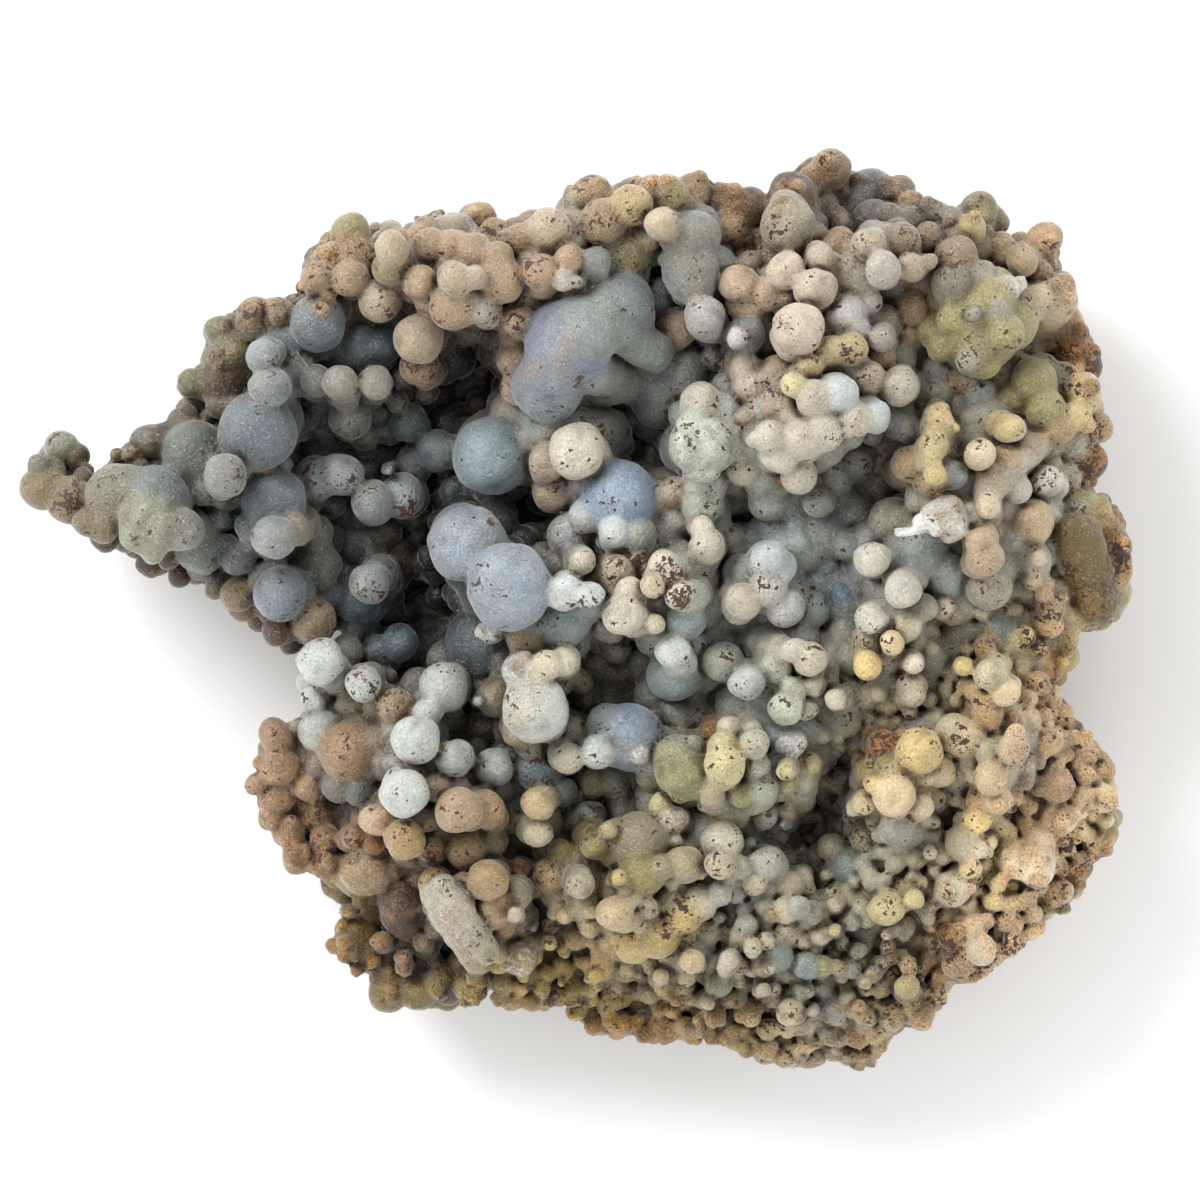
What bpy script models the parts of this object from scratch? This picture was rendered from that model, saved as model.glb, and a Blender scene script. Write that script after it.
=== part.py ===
"""Grape agate: a cluster of small chalcedony balls grown together on their matrix, one natural piece.

+Z points away from the face that the piece rests on, and the origin is on that face. +X is its length.
The tables are in millimetres. Each ball is a row of x, y, radius and how far it stands up:
0 is deep between its neighbours, 1 is level with the growth surface, 2 stands up and 3 stands in front.
"""

import math

import bmesh
import bpy
import numpy as np

MM = 0.001

# Driving dimensions, in millimetres
LENGTH = 139.0
WIDTH = 116.5
RIM_HEIGHT = 20.0
EDGE_TOP = 15.0
SHOULDER_WIDTH = 8.0
SHOULDER_RISE = 31.0
FOOT_INSET = 15.0
STAND_UP = (-2.5, 0.5, 3.0, 6.0)
MATRIX_DEPTH = 2.6
FILL_SPACING = 5.2
FILL_RADIUS = (2.0, 2.8)
FILL_SINK = (0.5, 2.0)
RIM_SPACING = 4.0
RIM_ROWS = ((20.0, 0.0, 1.8, 2.6), (13.0, 1.5, 2.2, 3.2), (6.0, 6.0, 3.0, 4.5))
RIM_SCATTER = 1.5
RIM_CLEARANCE = 0.95
COLUMN_STEP = 0.9
VOXEL = 0.8
SMOOTHING = 2
TRIANGLES = 9600
SEED = 7

# How far a height reading reaches, and how far from the outline the matrix stays
RELIEF_REACH = 3.6
PLAN_STEP = 1.5
MATRIX_INSET = 1.6
BELOW_FOOT = 3.0

# Height of the growth surface, in mm above the rest face, at points across the piece
RELIEF = [
    # Nose and left shoulder
    (-67, 17, 28), (-62, 17, 30), (-58, 14, 32), (-52, 13, 35), (-46, 18, 34), (-46, 8, 29), (-53, 7, 24),
    (-40, 22, 35), (-38, 12, 34), (-37, 3, 32), (-33, -1, 28), (-42, 2, 26), (-53, 21, 28), (-46, 29, 28),
    # Hollow behind the upper left rim
    (-30, 22, 24), (-24, 20, 22), (-29, 7, 23), (-19, 1, 13), (-24, -3, 19), (-12, 34, 20), (-13, 28, 19),
    (-20, 10, 20), (-16, 14, 20), (-32, 29, 31), (-21, 24, 26), (-28, 13, 24), (-26, 4, 28), (-17, -5, 16),
    # Upper left rim
    (-44, 33, 29), (-38, 33, 35), (-32, 37, 34), (-27, 31, 33), (-24, 34, 26), (-40, 37, 29),
    # Upper rim
    (-28, 45, 33), (-23, 44, 38), (-20, 35, 37), (-14, 40, 42), (-9, 42, 42), (-4, 45, 41), (-12, 49, 33),
    (3, 50, 39), (10, 50, 39), (2, 53, 34), (14, 45, 41), (20, 50, 33), (27, 50, 39), (21, 47, 32),
    (32, 56, 30), (37, 53, 25), (32, 52, 24), (36, 46, 41), (42, 46, 40), (48, 44, 38), (48, 49, 33),
    (52, 50, 31), (-7, 37, 38), (6, 45, 38), (26, 43, 41), (20, 40, 39),
    # Round boulder at the upper right
    (50, 36, 39), (57, 42, 32), (60, 37, 30), (45, 32, 34), (56, 46, 32),
    # Blue mass
    (5, 38, 40), (-1, 33, 42), (-4, 28, 38), (12, 32, 34), (18, 34, 32), (22, 33, 39), (28, 37, 43),
    (33, 34, 41), (3, 23, 29), (9, 26, 30), (-6, 23, 30), (10, 39, 32), (16, 37, 37),
    # Centre
    (-10, 20, 34), (0, 20, 39), (-4, 12, 18), (5, 14, 38), (-13, 9, 39), (-8, 4, 41), (0, 8, 35),
    (10, 20, 20), (16, 24, 42), (16, 15, 40), (24, 24, 42), (32, 25, 43), (38, 26, 41), (42, 27, 33),
    (28, 16, 38), (31, 10, 33), (24, 5, 40), (16, 8, 39), (10, 3, 40), (5, 1, 40), (20, 11, 28),
    (36, 17, 30), (12, 10, 28), (20, 14, 30), (17, 30, 28),
    # Right slope
    (45, 21, 40), (50, 27, 33), (58, 27, 36), (63, 27, 31), (53, 18, 38), (59, 17, 35), (65, 18, 25),
    (46, 12, 40), (38, 8, 39), (43, 4, 38), (51, 7, 38), (57, 10, 35), (63, 12, 30), (66, 3, 28),
    (52, -1, 34), (58, -2, 33), (62, -5, 27), (33, 3, 32), (47, 30, 33), (64, 33, 26), (61, 22, 32),
    # Middle of the lower half
    (-33, -6, 31), (-27, -8, 33), (-30, -11, 23), (-16, -8, 35), (-20, -16, 38), (-11, -3, 31),
    (-10, -10, 30), (-5, -11, 41), (2, -9, 22), (-2, -5, 38), (-13, -14, 24), (6, -15, 38), (13, -7, 38),
    (7, -5, 26), (17, -11, 19), (19, -6, 36), (22, -8, 38), (26, -8, 38), (30, -6, 39), (33, -3, 32),
    (37, -2, 39), (41, -2, 40), (37, -7, 34), (42, -8, 38), (47, -3, 27), (52, -7, 37), (44, -12, 26),
    (48, -15, 37), (53, -11, 35), (34, -16, 26), (31, -23, 18), (43, -17, 40), (39, -21, 40),
    (51, -21, 38), (54, -17, 36), (47, -23, 24), (56, -24, 22), (50, -26, 35), (21, -2, 30), (28, -13, 36),
    (33, -10, 34), (15, -15, 33), (0, -19, 31), (-24, -12, 30), (-22, -4, 27), (29, -28, 16), (24, -15, 34),
    # Right edge crust
    (60, -22, 30), (66, -22, 25), (60, -28, 30), (62, -15, 28), (66, -28, 23), (63, -31, 20), (58, -8, 30),
    (60, -10, 26),
    # Lower ledge
    (19, -18, 41), (13, -19, 38), (23, -21, 39), (27, -20, 38), (18, -26, 37), (22, -27, 24), (10, -12, 27),
    (-5, -25, 37), (-8, -28, 19), (-1, -23, 27), (5, -23, 24), (2, -29, 34), (8, -29, 37), (14, -31, 38),
    (9, -37, 35), (5, -37, 36), (12, -40, 34), (4, -44, 30), (0, -34, 34), (-3, -40, 28), (-1, -43, 22),
    (-8, -43, 30), (-11, -33, 37), (-7, -35, 33), (-15, -25, 39), (-21, -28, 38), (-11, -27, 34), (14, -26, 27),
    # Lower left
    (-36, -16, 28), (-28, -17, 34), (-37, -24, 26), (-34, -30, 24), (-31, -25, 25), (-26, -32, 33),
    (-21, -36, 30), (-22, -32, 25), (-15, -38, 36), (-28, -40, 24), (-25, -37, 16), (-22, -44, 24),
    (-18, -46, 23), (-25, -49, 18), (-9, -48, 21), (-17, -33, 34), (-18, -29, 30), (-30, -34, 21), (-17, -42, 20),
    # Lower right flank
    (7, -46, 17), (2, -50, 18), (9, -50, 19), (18, -34, 36), (23, -31, 36), (18, -38, 22), (28, -30, 20),
    (27, -35, 34), (22, -41, 33), (15, -43, 31), (19, -46, 28), (25, -43, 30), (30, -40, 31), (38, -37, 34),
    (34, -32, 31), (32, -36, 31), (42, -32, 28), (47, -34, 31), (29, -47, 28), (35, -45, 29), (46, -40, 28),
    (51, -41, 28), (58, -36, 24), (62, -35, 20), (20, -52, 20), (27, -50, 27), (36, -50, 25), (42, -49, 24),
    (48, -45, 24), (30, -54, 18), (36, -55, 16), (40, -27, 35), (36, -27, 30), (57, -31, 31), (15, -50, 21),
    (36, -41, 24), (40, -42, 25), (23, -49, 20), (54, -36, 27),
]
# Outline of the whole piece
OUTLINE = [
    (-69.6, 17.0), (-66.3, 23.3), (-60.0, 18.3), (-55.6, 23.3), (-51.2, 24.5), (-48.8, 29.1), (-46.3, 35.8),
    (-41.9, 39.5), (-34.4, 40.8), (-34.4, 44.3), (-30.4, 50.5), (-25.0, 48.5), (-18.1, 50.4), (-13.1, 51.6),
    (-9.8, 50.1), (-4.4, 50.8), (-0.6, 54.5), (5.0, 54.5), (9.4, 54.8), (16.3, 55.5), (23.1, 52.6), (28.8, 57.6),
    (31.9, 58.6), (34.4, 56.4), (41.3, 55.1), (43.1, 52.3), (51.3, 52.0), (53.5, 48.5), (60.6, 48.3), (62.5, 39.5),
    (65.6, 34.5), (66.3, 23.3), (65.6, 17.0), (69.4, 12.0), (70.0, 4.5), (66.9, -1.8), (62.9, -3.0), (62.9, -6.4),
    (60.9, -9.5), (64.1, -14.0), (67.5, -18.0), (68.4, -23.0), (69.0, -25.5), (67.6, -29.6), (65.3, -31.5),
    (64.4, -35.2), (60.6, -38.5), (54.4, -43.4), (48.6, -47.0), (45.3, -51.2), (40.6, -53.4), (38.6, -55.6),
    (34.6, -57.9), (31.0, -56.8), (28.5, -57.9), (23.0, -57.0), (19.4, -55.0), (15.6, -54.2), (9.4, -54.6),
    (3.0, -53.6), (0.0, -51.6), (-2.5, -49.4), (-6.3, -49.8), (-11.0, -48.5), (-15.6, -50.4), (-21.0, -50.0),
    (-25.8, -49.8), (-27.5, -45.4), (-31.0, -41.0), (-30.0, -37.2), (-32.3, -33.0), (-36.6, -31.5), (-37.2, -28.0),
    (-39.7, -26.3), (-41.2, -20.4), (-39.2, -13.6), (-34.6, -12.6), (-33.8, -9.4), (-34.4, -5.0), (-30.8, -3.0),
    (-36.5, -4.2), (-41.4, 1.2), (-45.0, 2.0), (-52.0, 5.8), (-58.0, 8.2), (-62.5, 10.5), (-66.0, 13.0),
]
# Left nose
NOSE = [
    (-66.9, 16.1, 2.8, 1), (-64.3, 21.3, 2.1, 2), (-62.8, 14.4, 3, 1), (-59, 11.2, 2.3, 2), (-57, 15.2, 4.1, 2),
    (-52.5, 14.3, 4.7, 2), (-53, 11.3, 3.9, 3), (-49.1, 10.8, 2.7, 3), (-53.4, 21.9, 2.2, 1), (-51.6, 22.1, 2, 1),
    (-47.5, 20.1, 4.2, 1), (-43.7, 17.6, 2.8, 3), (-46.8, 8.5, 3.2, 1), (-42.2, 7.2, 2.1, 1), (-42, 2.6, 2.3, 1),
    (-44, 12.8, 2.3, 0),
]
# Upper left rim and the hollow behind it
HOLLOW = [
    (-43, 33, 2.5, 1), (-43.8, 29.3, 3.3, 1), (-39.8, 37, 2.9, 1), (-36.4, 37.7, 2, 1), (-39, 32.5, 2.2, 3),
    (-38.1, 28.6, 2.65, 3), (-34.8, 31.2, 2.2, 1), (-32.3, 29.5, 2.1, 2), (-32.2, 36.6, 3.5, 2), (-32, 27, 2.3, 0),
    (-29.4, 29.3, 2.2, 3), (-25, 29.2, 2.15, 3), (-27, 33.6, 3, 1), (-24.4, 33.6, 2.5, 1), (-33.5, 24.2, 2.5, 0),
    (-33, 21.2, 2.5, 0), (-39.7, 23, 4.7, 2), (-28.2, 24.8, 2.7, 2), (-20.8, 24.2, 2.5, 1), (-20.2, 18.8, 2.5, 1),
    (-24.7, 20, 2.4, 0), (-37.6, 14.4, 4.1, 1), (-32.3, 17.2, 2.7, 2), (-29.2, 17.7, 2.85, 3), (-25.3, 14.2, 2.9, 3),
    (-21.4, 15, 2.9, 3), (-37.7, 9.9, 2.8, 3), (-35.2, 10.9, 2.2, 2), (-32.6, 10.2, 2.4, 1), (-32, 6.4, 2.7, 1),
    (-30.4, 13, 2.6, 0), (-28, 8.5, 2.8, 0), (-23.3, 9.2, 2.3, 0), (-36.9, 2.7, 3.4, 2), (-25.8, 4.1, 2.6, 3),
    (-27.2, 1.8, 2.9, 1), (-32.8, -0.6, 3, 1),
]
# Upper rim
RIM = [
    (-24.5, 39.4, 2.6, 2), (-28.2, 42.2, 2.4, 2), (-28.1, 48, 2.5, 1), (-27.5, 45, 2.8, 1), (-31.3, 44.2, 2, 1),
    (-32.3, 42.3, 2.2, 2), (-23, 45.9, 2.2, 3), (-23.3, 43.5, 2.3, 2), (-19.6, 34.6, 3, 3), (-19.5, 31, 2.4, 2),
    (-19.4, 41.8, 2.1, 2), (-18.4, 39.6, 2, 1), (-14.9, 42, 2.1, 3), (-15, 38.8, 3.1, 3), (-12.2, 38.5, 2, 3),
    (-9.2, 42, 3, 2), (-9.6, 44.8, 2, 2), (-18.3, 46.5, 2, 2), (-15.6, 46.1, 2.2, 2), (-12.6, 45.4, 2.4, 2),
    (-11.8, 49.8, 2.1, 1), (-3.2, 48.3, 2.8, 2), (-4.5, 43, 2.3, 2), (2.4, 44, 2.2, 2), (2, 52.3, 2.9, 1),
    (3.6, 49.2, 2.8, 2), (-7.2, 37, 2.25, 2), (-7.5, 32.2, 2.6, 2), (-15, 32, 2.6, 1), (-11.4, 27.3, 2.1, 0),
    (7, 51.3, 2.7, 2), (9.6, 52.6, 2.4, 1), (12, 52.4, 2.6, 1), (10.6, 49.1, 2, 3), (14.8, 53.1, 2.3, 0),
    (19, 51.6, 2.4, 1), (22, 51.3, 2.4, 1), (19.5, 48.8, 2, 1), (21.7, 46.6, 2.9, 0), (26.6, 50.6, 2.6, 2),
    (26.6, 48.7, 3.3, 2), (27, 52.8, 2.9, 1), (6.6, 45.5, 3, 1), (14.4, 47.3, 3.5, 2), (14.5, 42.9, 3.7, 2),
    (17.8, 44, 2.3, 1), (32, 56.2, 2.6, 1), (32.5, 52.5, 2.9, 0), (37, 52.9, 3.4, 0), (41, 47.2, 2.2, 2),
    (36.7, 46.4, 2.3, 3), (38.4, 43.4, 2.3, 3), (33.2, 46.4, 2.3, 1), (35.4, 42.6, 3, 1), (47.6, 44.9, 2.5, 2),
    (47, 41.4, 2.5, 2), (42.2, 38.5, 2, 1), (41.8, 35.3, 2, 1), (50.5, 50.7, 2.4, 1), (52.3, 49.4, 2, 1),
]
# Blue mass under the upper rim
BLUE = [
    (4.8, 38.3, 5.1, 2), (-1, 34, 5.6, 2), (-3.5, 28.6, 4.5, 2), (-8, 25.4, 2.6, 1), (-7, 28.6, 2.4, 2),
    (-5.5, 22, 3, 1), (3, 22.6, 2.7, 1), (9.6, 39.2, 3.2, 0), (12.8, 36, 2.5, 1), (16.2, 37.3, 2.65, 3),
    (21.2, 35.1, 2.4, 2), (20.5, 41.5, 2.5, 2), (21.8, 39, 2.7, 1), (26.3, 43.2, 2.3, 2), (24.4, 40.3, 2.4, 1),
    (30.1, 40.9, 2.6, 2), (27.9, 36, 3.2, 3), (34, 37.9, 2.4, 1), (34.4, 33.4, 2.1, 2), (31.9, 33.3, 2, 2),
    (10, 32.8, 2.8, 1), (13.4, 30.4, 3.2, 1), (10, 26.8, 3, 1), (6, 30, 3, 1), (21.4, 31, 2.2, 2),
    (22.2, 28.8, 2.6, 2), (25.3, 30.5, 2.3, 1),
]
# Centre
CENTRE = [
    (-10.5, 20, 4.9, 2), (-17.2, 20.7, 2.5, 1), (-16.5, 15, 2.4, 0), (0.2, 20.7, 3.4, 3), (-3.5, 19.3, 2.3, 2),
    (-2.6, 15.8, 2.8, 2), (1.4, 12.6, 2.2, 2), (-0.5, 10.2, 2.8, 2), (-13.5, 9, 4.8, 3), (-8.3, 3.7, 5.6, 3),
    (-1.4, 3, 2.4, 3), (5.4, 14.8, 4.9, 2), (7.6, 9.9, 2.5, 2), (5, 10.5, 2.1, 2), (12.5, 15.4, 2.1, 2),
    (10.4, 14.7, 2.2, 2), (5, 5.2, 2.4, 1), (11.3, 5.7, 2.4, 3), (14.8, 2.6, 2.1, 2), (6.2, 0.2, 2.7, 3),
    (15.7, 26.3, 2.9, 3), (18, 25.4, 2.6, 2), (16.2, 21.5, 4.2, 3), (16.2, 16.8, 2.8, 2), (16, 13.8, 2.7, 2),
    (16.5, 8.7, 2.35, 3), (21, 18.3, 2, 2), (20, 17, 2.2, 1), (25.5, 26.7, 2.3, 2), (26.9, 24, 2.2, 2),
    (24.3, 22.4, 2.1, 3), (25.6, 20.2, 2.3, 3), (28.4, 22.2, 2.7, 3), (31, 23.1, 2.5, 3), (30, 27.2, 2.4, 3),
    (33, 27.7, 2.5, 3), (34.8, 24.6, 2.3, 3), (37.4, 24.9, 2.1, 3), (36.8, 29.7, 2.1, 2), (40.5, 28.8, 2.4, 3),
    (28, 17.4, 2.2, 3), (24, 16.6, 2.8, 2), (24.4, 14.2, 2.6, 2), (26.4, 13.6, 2.4, 1), (25.2, 10.6, 2.7, 1),
    (31, 10, 3.6, 1), (24.2, 7.2, 2.3, 3), (25.5, 6.2, 2.2, 2), (21, 1.8, 2.2, 3), (24.2, 3.6, 2.3, 2),
    (22, 5.4, 2.4, 1), (26.4, 1.1, 2.5, 2),
]
# Right slope
RIGHT = [
    (42, 26, 5, 0), (45.6, 23.9, 2, 3), (42, 19, 2.4, 2), (47.1, 17.7, 2, 2), (50.2, 26.7, 2.05, 1),
    (54.3, 23.5, 2.05, 3), (57.3, 29.4, 3, 2), (58.7, 26, 2.5, 2), (60.2, 23.6, 2.3, 2), (61, 28.5, 2, 1),
    (55, 27.2, 2.3, 1), (63.5, 27.8, 2.6, 2), (53.8, 19, 2.2, 2), (56.2, 21.2, 2.1, 2), (59, 16.9, 2.1, 2),
    (46.3, 12.5, 2.6, 3), (39.6, 12, 2.9, 1), (37.2, 7.1, 2.3, 3), (43.6, 7.8, 3.2, 1), (46.4, 4.8, 2.7, 1),
    (51.3, 7.3, 2.4, 3), (51.7, 3.4, 2.8, 2), (57.2, 11.6, 2.8, 2), (55, 9.8, 2.2, 1), (41, 3.3, 2.3, 3),
    (37.2, -0.3, 2.2, 3), (63.3, 12.2, 3.8, 1), (65.3, 3.4, 4.2, 1), (62.3, 33.3, 2.2, 1), (64.2, 19.3, 2.2, 1),
    (65.2, 23.5, 2, 1), (50, 36.6, 6.4, 2), (53.6, 35.4, 2.5, 3), (48.5, 29.8, 2, 1), (56, 44.4, 2.1, 2),
    (53.5, 45.9, 2, 1), (58.6, 47, 2.3, 1), (59, 38.6, 3, 2), (61.6, 36.4, 2.3, 1), (50.6, 42.5, 2.2, 2),
]
# Middle of the lower half
LOWER_MIDDLE = [
    (-31.9, -5.7, 2.9, 3), (-26.5, -8.5, 2.2, 3), (-29, -7, 2.3, 0), (-31.8, -14.3, 2.9, 1), (-22, -3.2, 2.45, 2),
    (-22.6, -11.1, 2.3, 2), (-16.4, -8.9, 3, 3), (-16.4, -5.4, 2.3, 1), (-17.8, -3.8, 2.4, 0), (-19.9, -15.5, 3.1, 3),
    (-15.1, -17.8, 2.4, 3), (-10.2, -18.9, 2.4, 2), (-21.4, -22.2, 2.9, 3), (-11.6, -3.4, 4.9, 1), (-1.5, -0.8, 3.4, 1),
    (-6, -3, 2.6, 1), (-7, -6.9, 2.2, 3), (-5, -11.5, 4.1, 3), (-7, -14.4, 2.3, 1), (-10, -10.1, 2.5, 1),
    (2, -5.6, 2.2, 0), (-0.3, -14.4, 2, 1), (-0.8, -17.8, 2, 3), (2.8, -16.9, 2.2, 3), (3.8, -13.4, 2.4, 2),
    (-13.8, -13.6, 3.3, 0), (-5, -19.2, 2.6, 1), (6.6, -15.1, 4.3, 2), (13.9, -0.6, 2.4, 2), (12.2, -4.4, 2.15, 3),
    (12.6, -7.1, 3.6, 2), (7.6, -5, 2.8, 0), (18.5, -5.7, 2.5, 2), (21.4, -8.4, 2.15, 3), (25.1, -6.4, 2.05, 2),
    (29.4, -5.4, 2.05, 3), (26.4, -11.5, 2.1, 3), (13.1, -12.6, 2.1, 1), (13.4, -19.3, 3.4, 2), (12.8, -17.6, 2.6, 2),
    (18.8, -18.6, 2.7, 3), (18.6, -16.4, 2.1, 3), (23.3, -21.7, 2.1, 2), (18.3, -24.6, 2.3, 1), (18.4, -28.4, 2.6, 2),
    (30.5, -13, 2.3, 0), (21.8, -26.5, 2.6, 0),
]
# Lower left cluster
LOWER_LEFT = [
    (-28, -17, 3.9, 1), (-37.5, -14.9, 2.1, 1), (-37.1, -18.7, 2.8, 1), (-37.3, -23.1, 2.1, 1), (-35.8, -27, 2.2, 1),
    (-33.4, -21.5, 2, 1), (-29.9, -21.2, 2.2, 1), (-34.6, -30, 2.3, 1), (-31.2, -31, 2, 1), (-24.7, -25.4, 2.2, 2),
    (-21.2, -27.9, 2.5, 3), (-26.2, -32, 3.1, 2), (-21.6, -35, 3.3, 1), (-21.4, -37.6, 2.8, 1), (-14.6, -24.3, 3, 3),
    (-14.9, -36.4, 2.5, 3), (-14, -39.2, 2.1, 3), (-27.3, -40.5, 3.2, 1), (-23.4, -43, 2, 0), (-23.3, -47.2, 2.6, 1),
    (-19.5, -47, 2.6, 1), (-17.3, -46, 2, 1), (-19.3, -43, 2, 0),
]
# Lower ledge
LEDGE = [
    (-11.2, -24.2, 2.3, 2), (-10.6, -28.2, 2.2, 1), (-13.8, -29.2, 2.4, 1), (-4.5, -23.5, 2.15, 3), (-8, -23, 2.2, 0),
    (1.8, -25, 2, 1), (-3.3, -32.4, 2.2, 1), (-10.9, -32.9, 2.6, 3), (-10.2, -36.5, 2, 2), (1, -36, 2.3, 1),
    (8, -28.3, 3.8, 2), (5, -37.2, 2.3, 3), (8.2, -32.4, 3, 2), (13.7, -31.2, 2.4, 2), (13.5, -37.5, 2.3, 2),
    (10.3, -40.3, 2.6, 2), (7.5, -41, 2.6, 2), (5, -41, 2.3, 1), (-13.7, -43.5, 2, 0), (-7, -43, 2.3, 2),
]
# Bottom right flank
FLANK = [
    (23.7, -30.9, 2.1, 3), (15.6, -35.8, 2.3, 2), (34.5, -31.3, 2.5, 1), (38.9, -36.7, 2.2, 3), (15.6, -40.8, 2, 1),
    (25.2, -42.6, 2.1, 2), (31.8, -48.4, 2.5, 1), (47.2, -34, 2.3, 2), (50.7, -41.6, 2, 3), (47.8, -43.3, 2, 2),
    (57.5, -31.3, 2.6, 3), (62.5, -31.5, 2.2, 1),
]
# Right edge crust
CRUST = [
    (41.3, -1.3, 2.1, 2), (42.1, -9.2, 2.1, 2), (52, -7.3, 2.2, 3), (51.6, -12.3, 2.1, 2), (53, -2, 3.3, 1),
    (61, -5.2, 2.1, 1), (47.5, -14.6, 2.5, 2), (48.6, -15.2, 2.6, 2), (43.8, -12, 2.2, 0), (43, -16.8, 2.8, 3),
    (39.5, -19.5, 2.2, 2), (45.5, -19.3, 2.1, 2), (39.8, -22.4, 2.6, 3), (40.2, -26.4, 2.4, 2), (52, -20.2, 2.2, 3),
    (48.4, -28.4, 2.3, 2), (60, -21, 2.4, 2), (60.3, -25.3, 2.4, 2), (66, -27.2, 2, 1), (62.5, -18, 2, 1),
    (56, -13.4, 2.2, 1), (58, -28.2, 2.2, 2), (55, -30.8, 2.2, 2),
]

REGIONS = (NOSE, HOLLOW, RIM, BLUE, CENTRE, RIGHT, LOWER_MIDDLE, LOWER_LEFT, LEDGE, FLANK, CRUST)


def clear_scene():
    """Starts from an empty scene."""
    for obj in list(bpy.data.objects):
        bpy.data.objects.remove(obj)


def relief(x, y):
    """Height of the growth surface, blended from the nearest readings."""
    points = np.array(RELIEF, dtype=float)
    far = (x[..., None] - points[:, 0]) ** 2 + (y[..., None] - points[:, 1]) ** 2
    far = far - far.min(axis=-1, keepdims=True)
    weight = np.exp(-far / (2 * RELIEF_REACH**2))
    return (weight * points[:, 2]).sum(axis=-1) / weight.sum(axis=-1)


def inside_distance(x, y):
    """Distance to the outline, positive inside it and negative outside."""
    corners = np.array(OUTLINE, dtype=float)
    nearest = np.full(x.shape, np.inf)
    crossings = np.zeros(x.shape, dtype=int)
    for (ax, ay), (bx, by) in zip(corners, np.roll(corners, -1, axis=0)):
        along = ((x - ax) * (bx - ax) + (y - ay) * (by - ay)) / ((bx - ax) ** 2 + (by - ay) ** 2)
        along = np.clip(along, 0, 1)
        nearest = np.minimum(nearest, np.hypot(x - ax - along * (bx - ax), y - ay - along * (by - ay)))
        if ay != by:
            spans = (ay > y) != (by > y)
            crossings += spans & (x < ax + (y - ay) * (bx - ax) / (by - ay))
    return np.where(crossings % 2 == 1, nearest, -nearest)


def shoulder(inside):
    """Greatest height near the outline, so that the piece rounds off at its edge."""
    reach = 1 - np.clip(inside / SHOULDER_WIDTH, 0, 1)
    return EDGE_TOP + SHOULDER_RISE * np.sqrt(1 - reach**2)


def surface(x, y):
    """Height of the growth surface with its rounded edge."""
    return np.minimum(relief(x, y), shoulder(inside_distance(x, y)))


def underside(inside):
    """Height of the rough underside, which draws in from the rim to the foot."""
    reach = 1 - np.clip(inside / FOOT_INSET, 0, 1)
    return RIM_HEIGHT * reach**1.5 - BELOW_FOOT


def matrix_mesh():
    """The solid mass behind the balls, between its underside and the growth surface."""
    xs = np.arange(-LENGTH / 2, LENGTH / 2 + PLAN_STEP, PLAN_STEP)
    ys = np.arange(-WIDTH / 2, WIDTH / 2 + PLAN_STEP, PLAN_STEP)
    x, y = np.meshgrid(xs, ys, indexing="ij")
    inside = inside_distance(x, y)
    low = underside(inside)
    high = np.maximum(surface(x, y) - MATRIX_DEPTH, low + 1)
    wanted = inside > MATRIX_INSET
    bm = bmesh.new()
    corner = {}
    for i, j in np.argwhere(wanted):
        for level, height in ((0, low[i, j]), (1, high[i, j])):
            corner[i, j, level] = bm.verts.new((x[i, j], y[i, j], height))
    cells = {
        (i, j)
        for i, j in np.argwhere(wanted[:-1, :-1] & wanted[1:, :-1] & wanted[:-1, 1:] & wanted[1:, 1:])
    }
    for i, j in sorted(cells):
        ring = [(i, j), (i + 1, j), (i + 1, j + 1), (i, j + 1)]
        bm.faces.new([corner[a, b, 1] for a, b in ring])
        bm.faces.new([corner[a, b, 0] for a, b in reversed(ring)])
        sides = [(i, j - 1), (i + 1, j), (i, j + 1), (i - 1, j)]
        for k, beyond in enumerate(sides):
            if beyond not in cells:
                (a, b), (c, d) = ring[k], ring[(k + 1) % 4]
                bm.faces.new((corner[a, b, 0], corner[c, d, 0], corner[c, d, 1], corner[a, b, 1]))
    loose = [vert for vert in bm.verts if not vert.link_faces]
    bmesh.ops.delete(bm, geom=loose, context="VERTS")
    return bm


def measured_balls():
    """Centres and radii of the balls in the tables, each with the column it stands on."""
    rows = np.array([row for region in REGIONS for row in region], dtype=float)
    x, y, radius, standing = rows.T
    top = surface(x, y) + np.array(STAND_UP)[standing.astype(int)]
    floor = surface(x, y) - MATRIX_DEPTH
    return stacked(x, y, radius, top - radius, floor)


def stacked(x, y, radius, height, floor):
    """Each ball on the column of balls that it grew from, down to the matrix."""
    balls = []
    for cx, cy, r, top, bottom in zip(x, y, radius, height, floor):
        while top > bottom:
            balls.append((cx, cy, top, r))
            top -= COLUMN_STEP * r
    return balls


def filling_balls(random):
    """Small balls that fill the ground between the measured ones."""
    xs = np.arange(-LENGTH / 2, LENGTH / 2, FILL_SPACING)
    ys = np.arange(-WIDTH / 2, WIDTH / 2, FILL_SPACING)
    x, y = (grid.ravel() for grid in np.meshgrid(xs, ys, indexing="ij"))
    x = x + random.uniform(-0.5, 0.5, x.size) * FILL_SPACING
    y = y + random.uniform(-0.5, 0.5, y.size) * FILL_SPACING
    radius = random.uniform(*FILL_RADIUS, x.size)
    sink = random.uniform(*FILL_SINK, x.size)
    kept = inside_distance(x, y) > radius
    x, y, radius, sink = x[kept], y[kept], radius[kept], sink[kept]
    return [tuple(row) for row in np.stack((x, y, surface(x, y) - sink - radius, radius), axis=1)]


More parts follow.
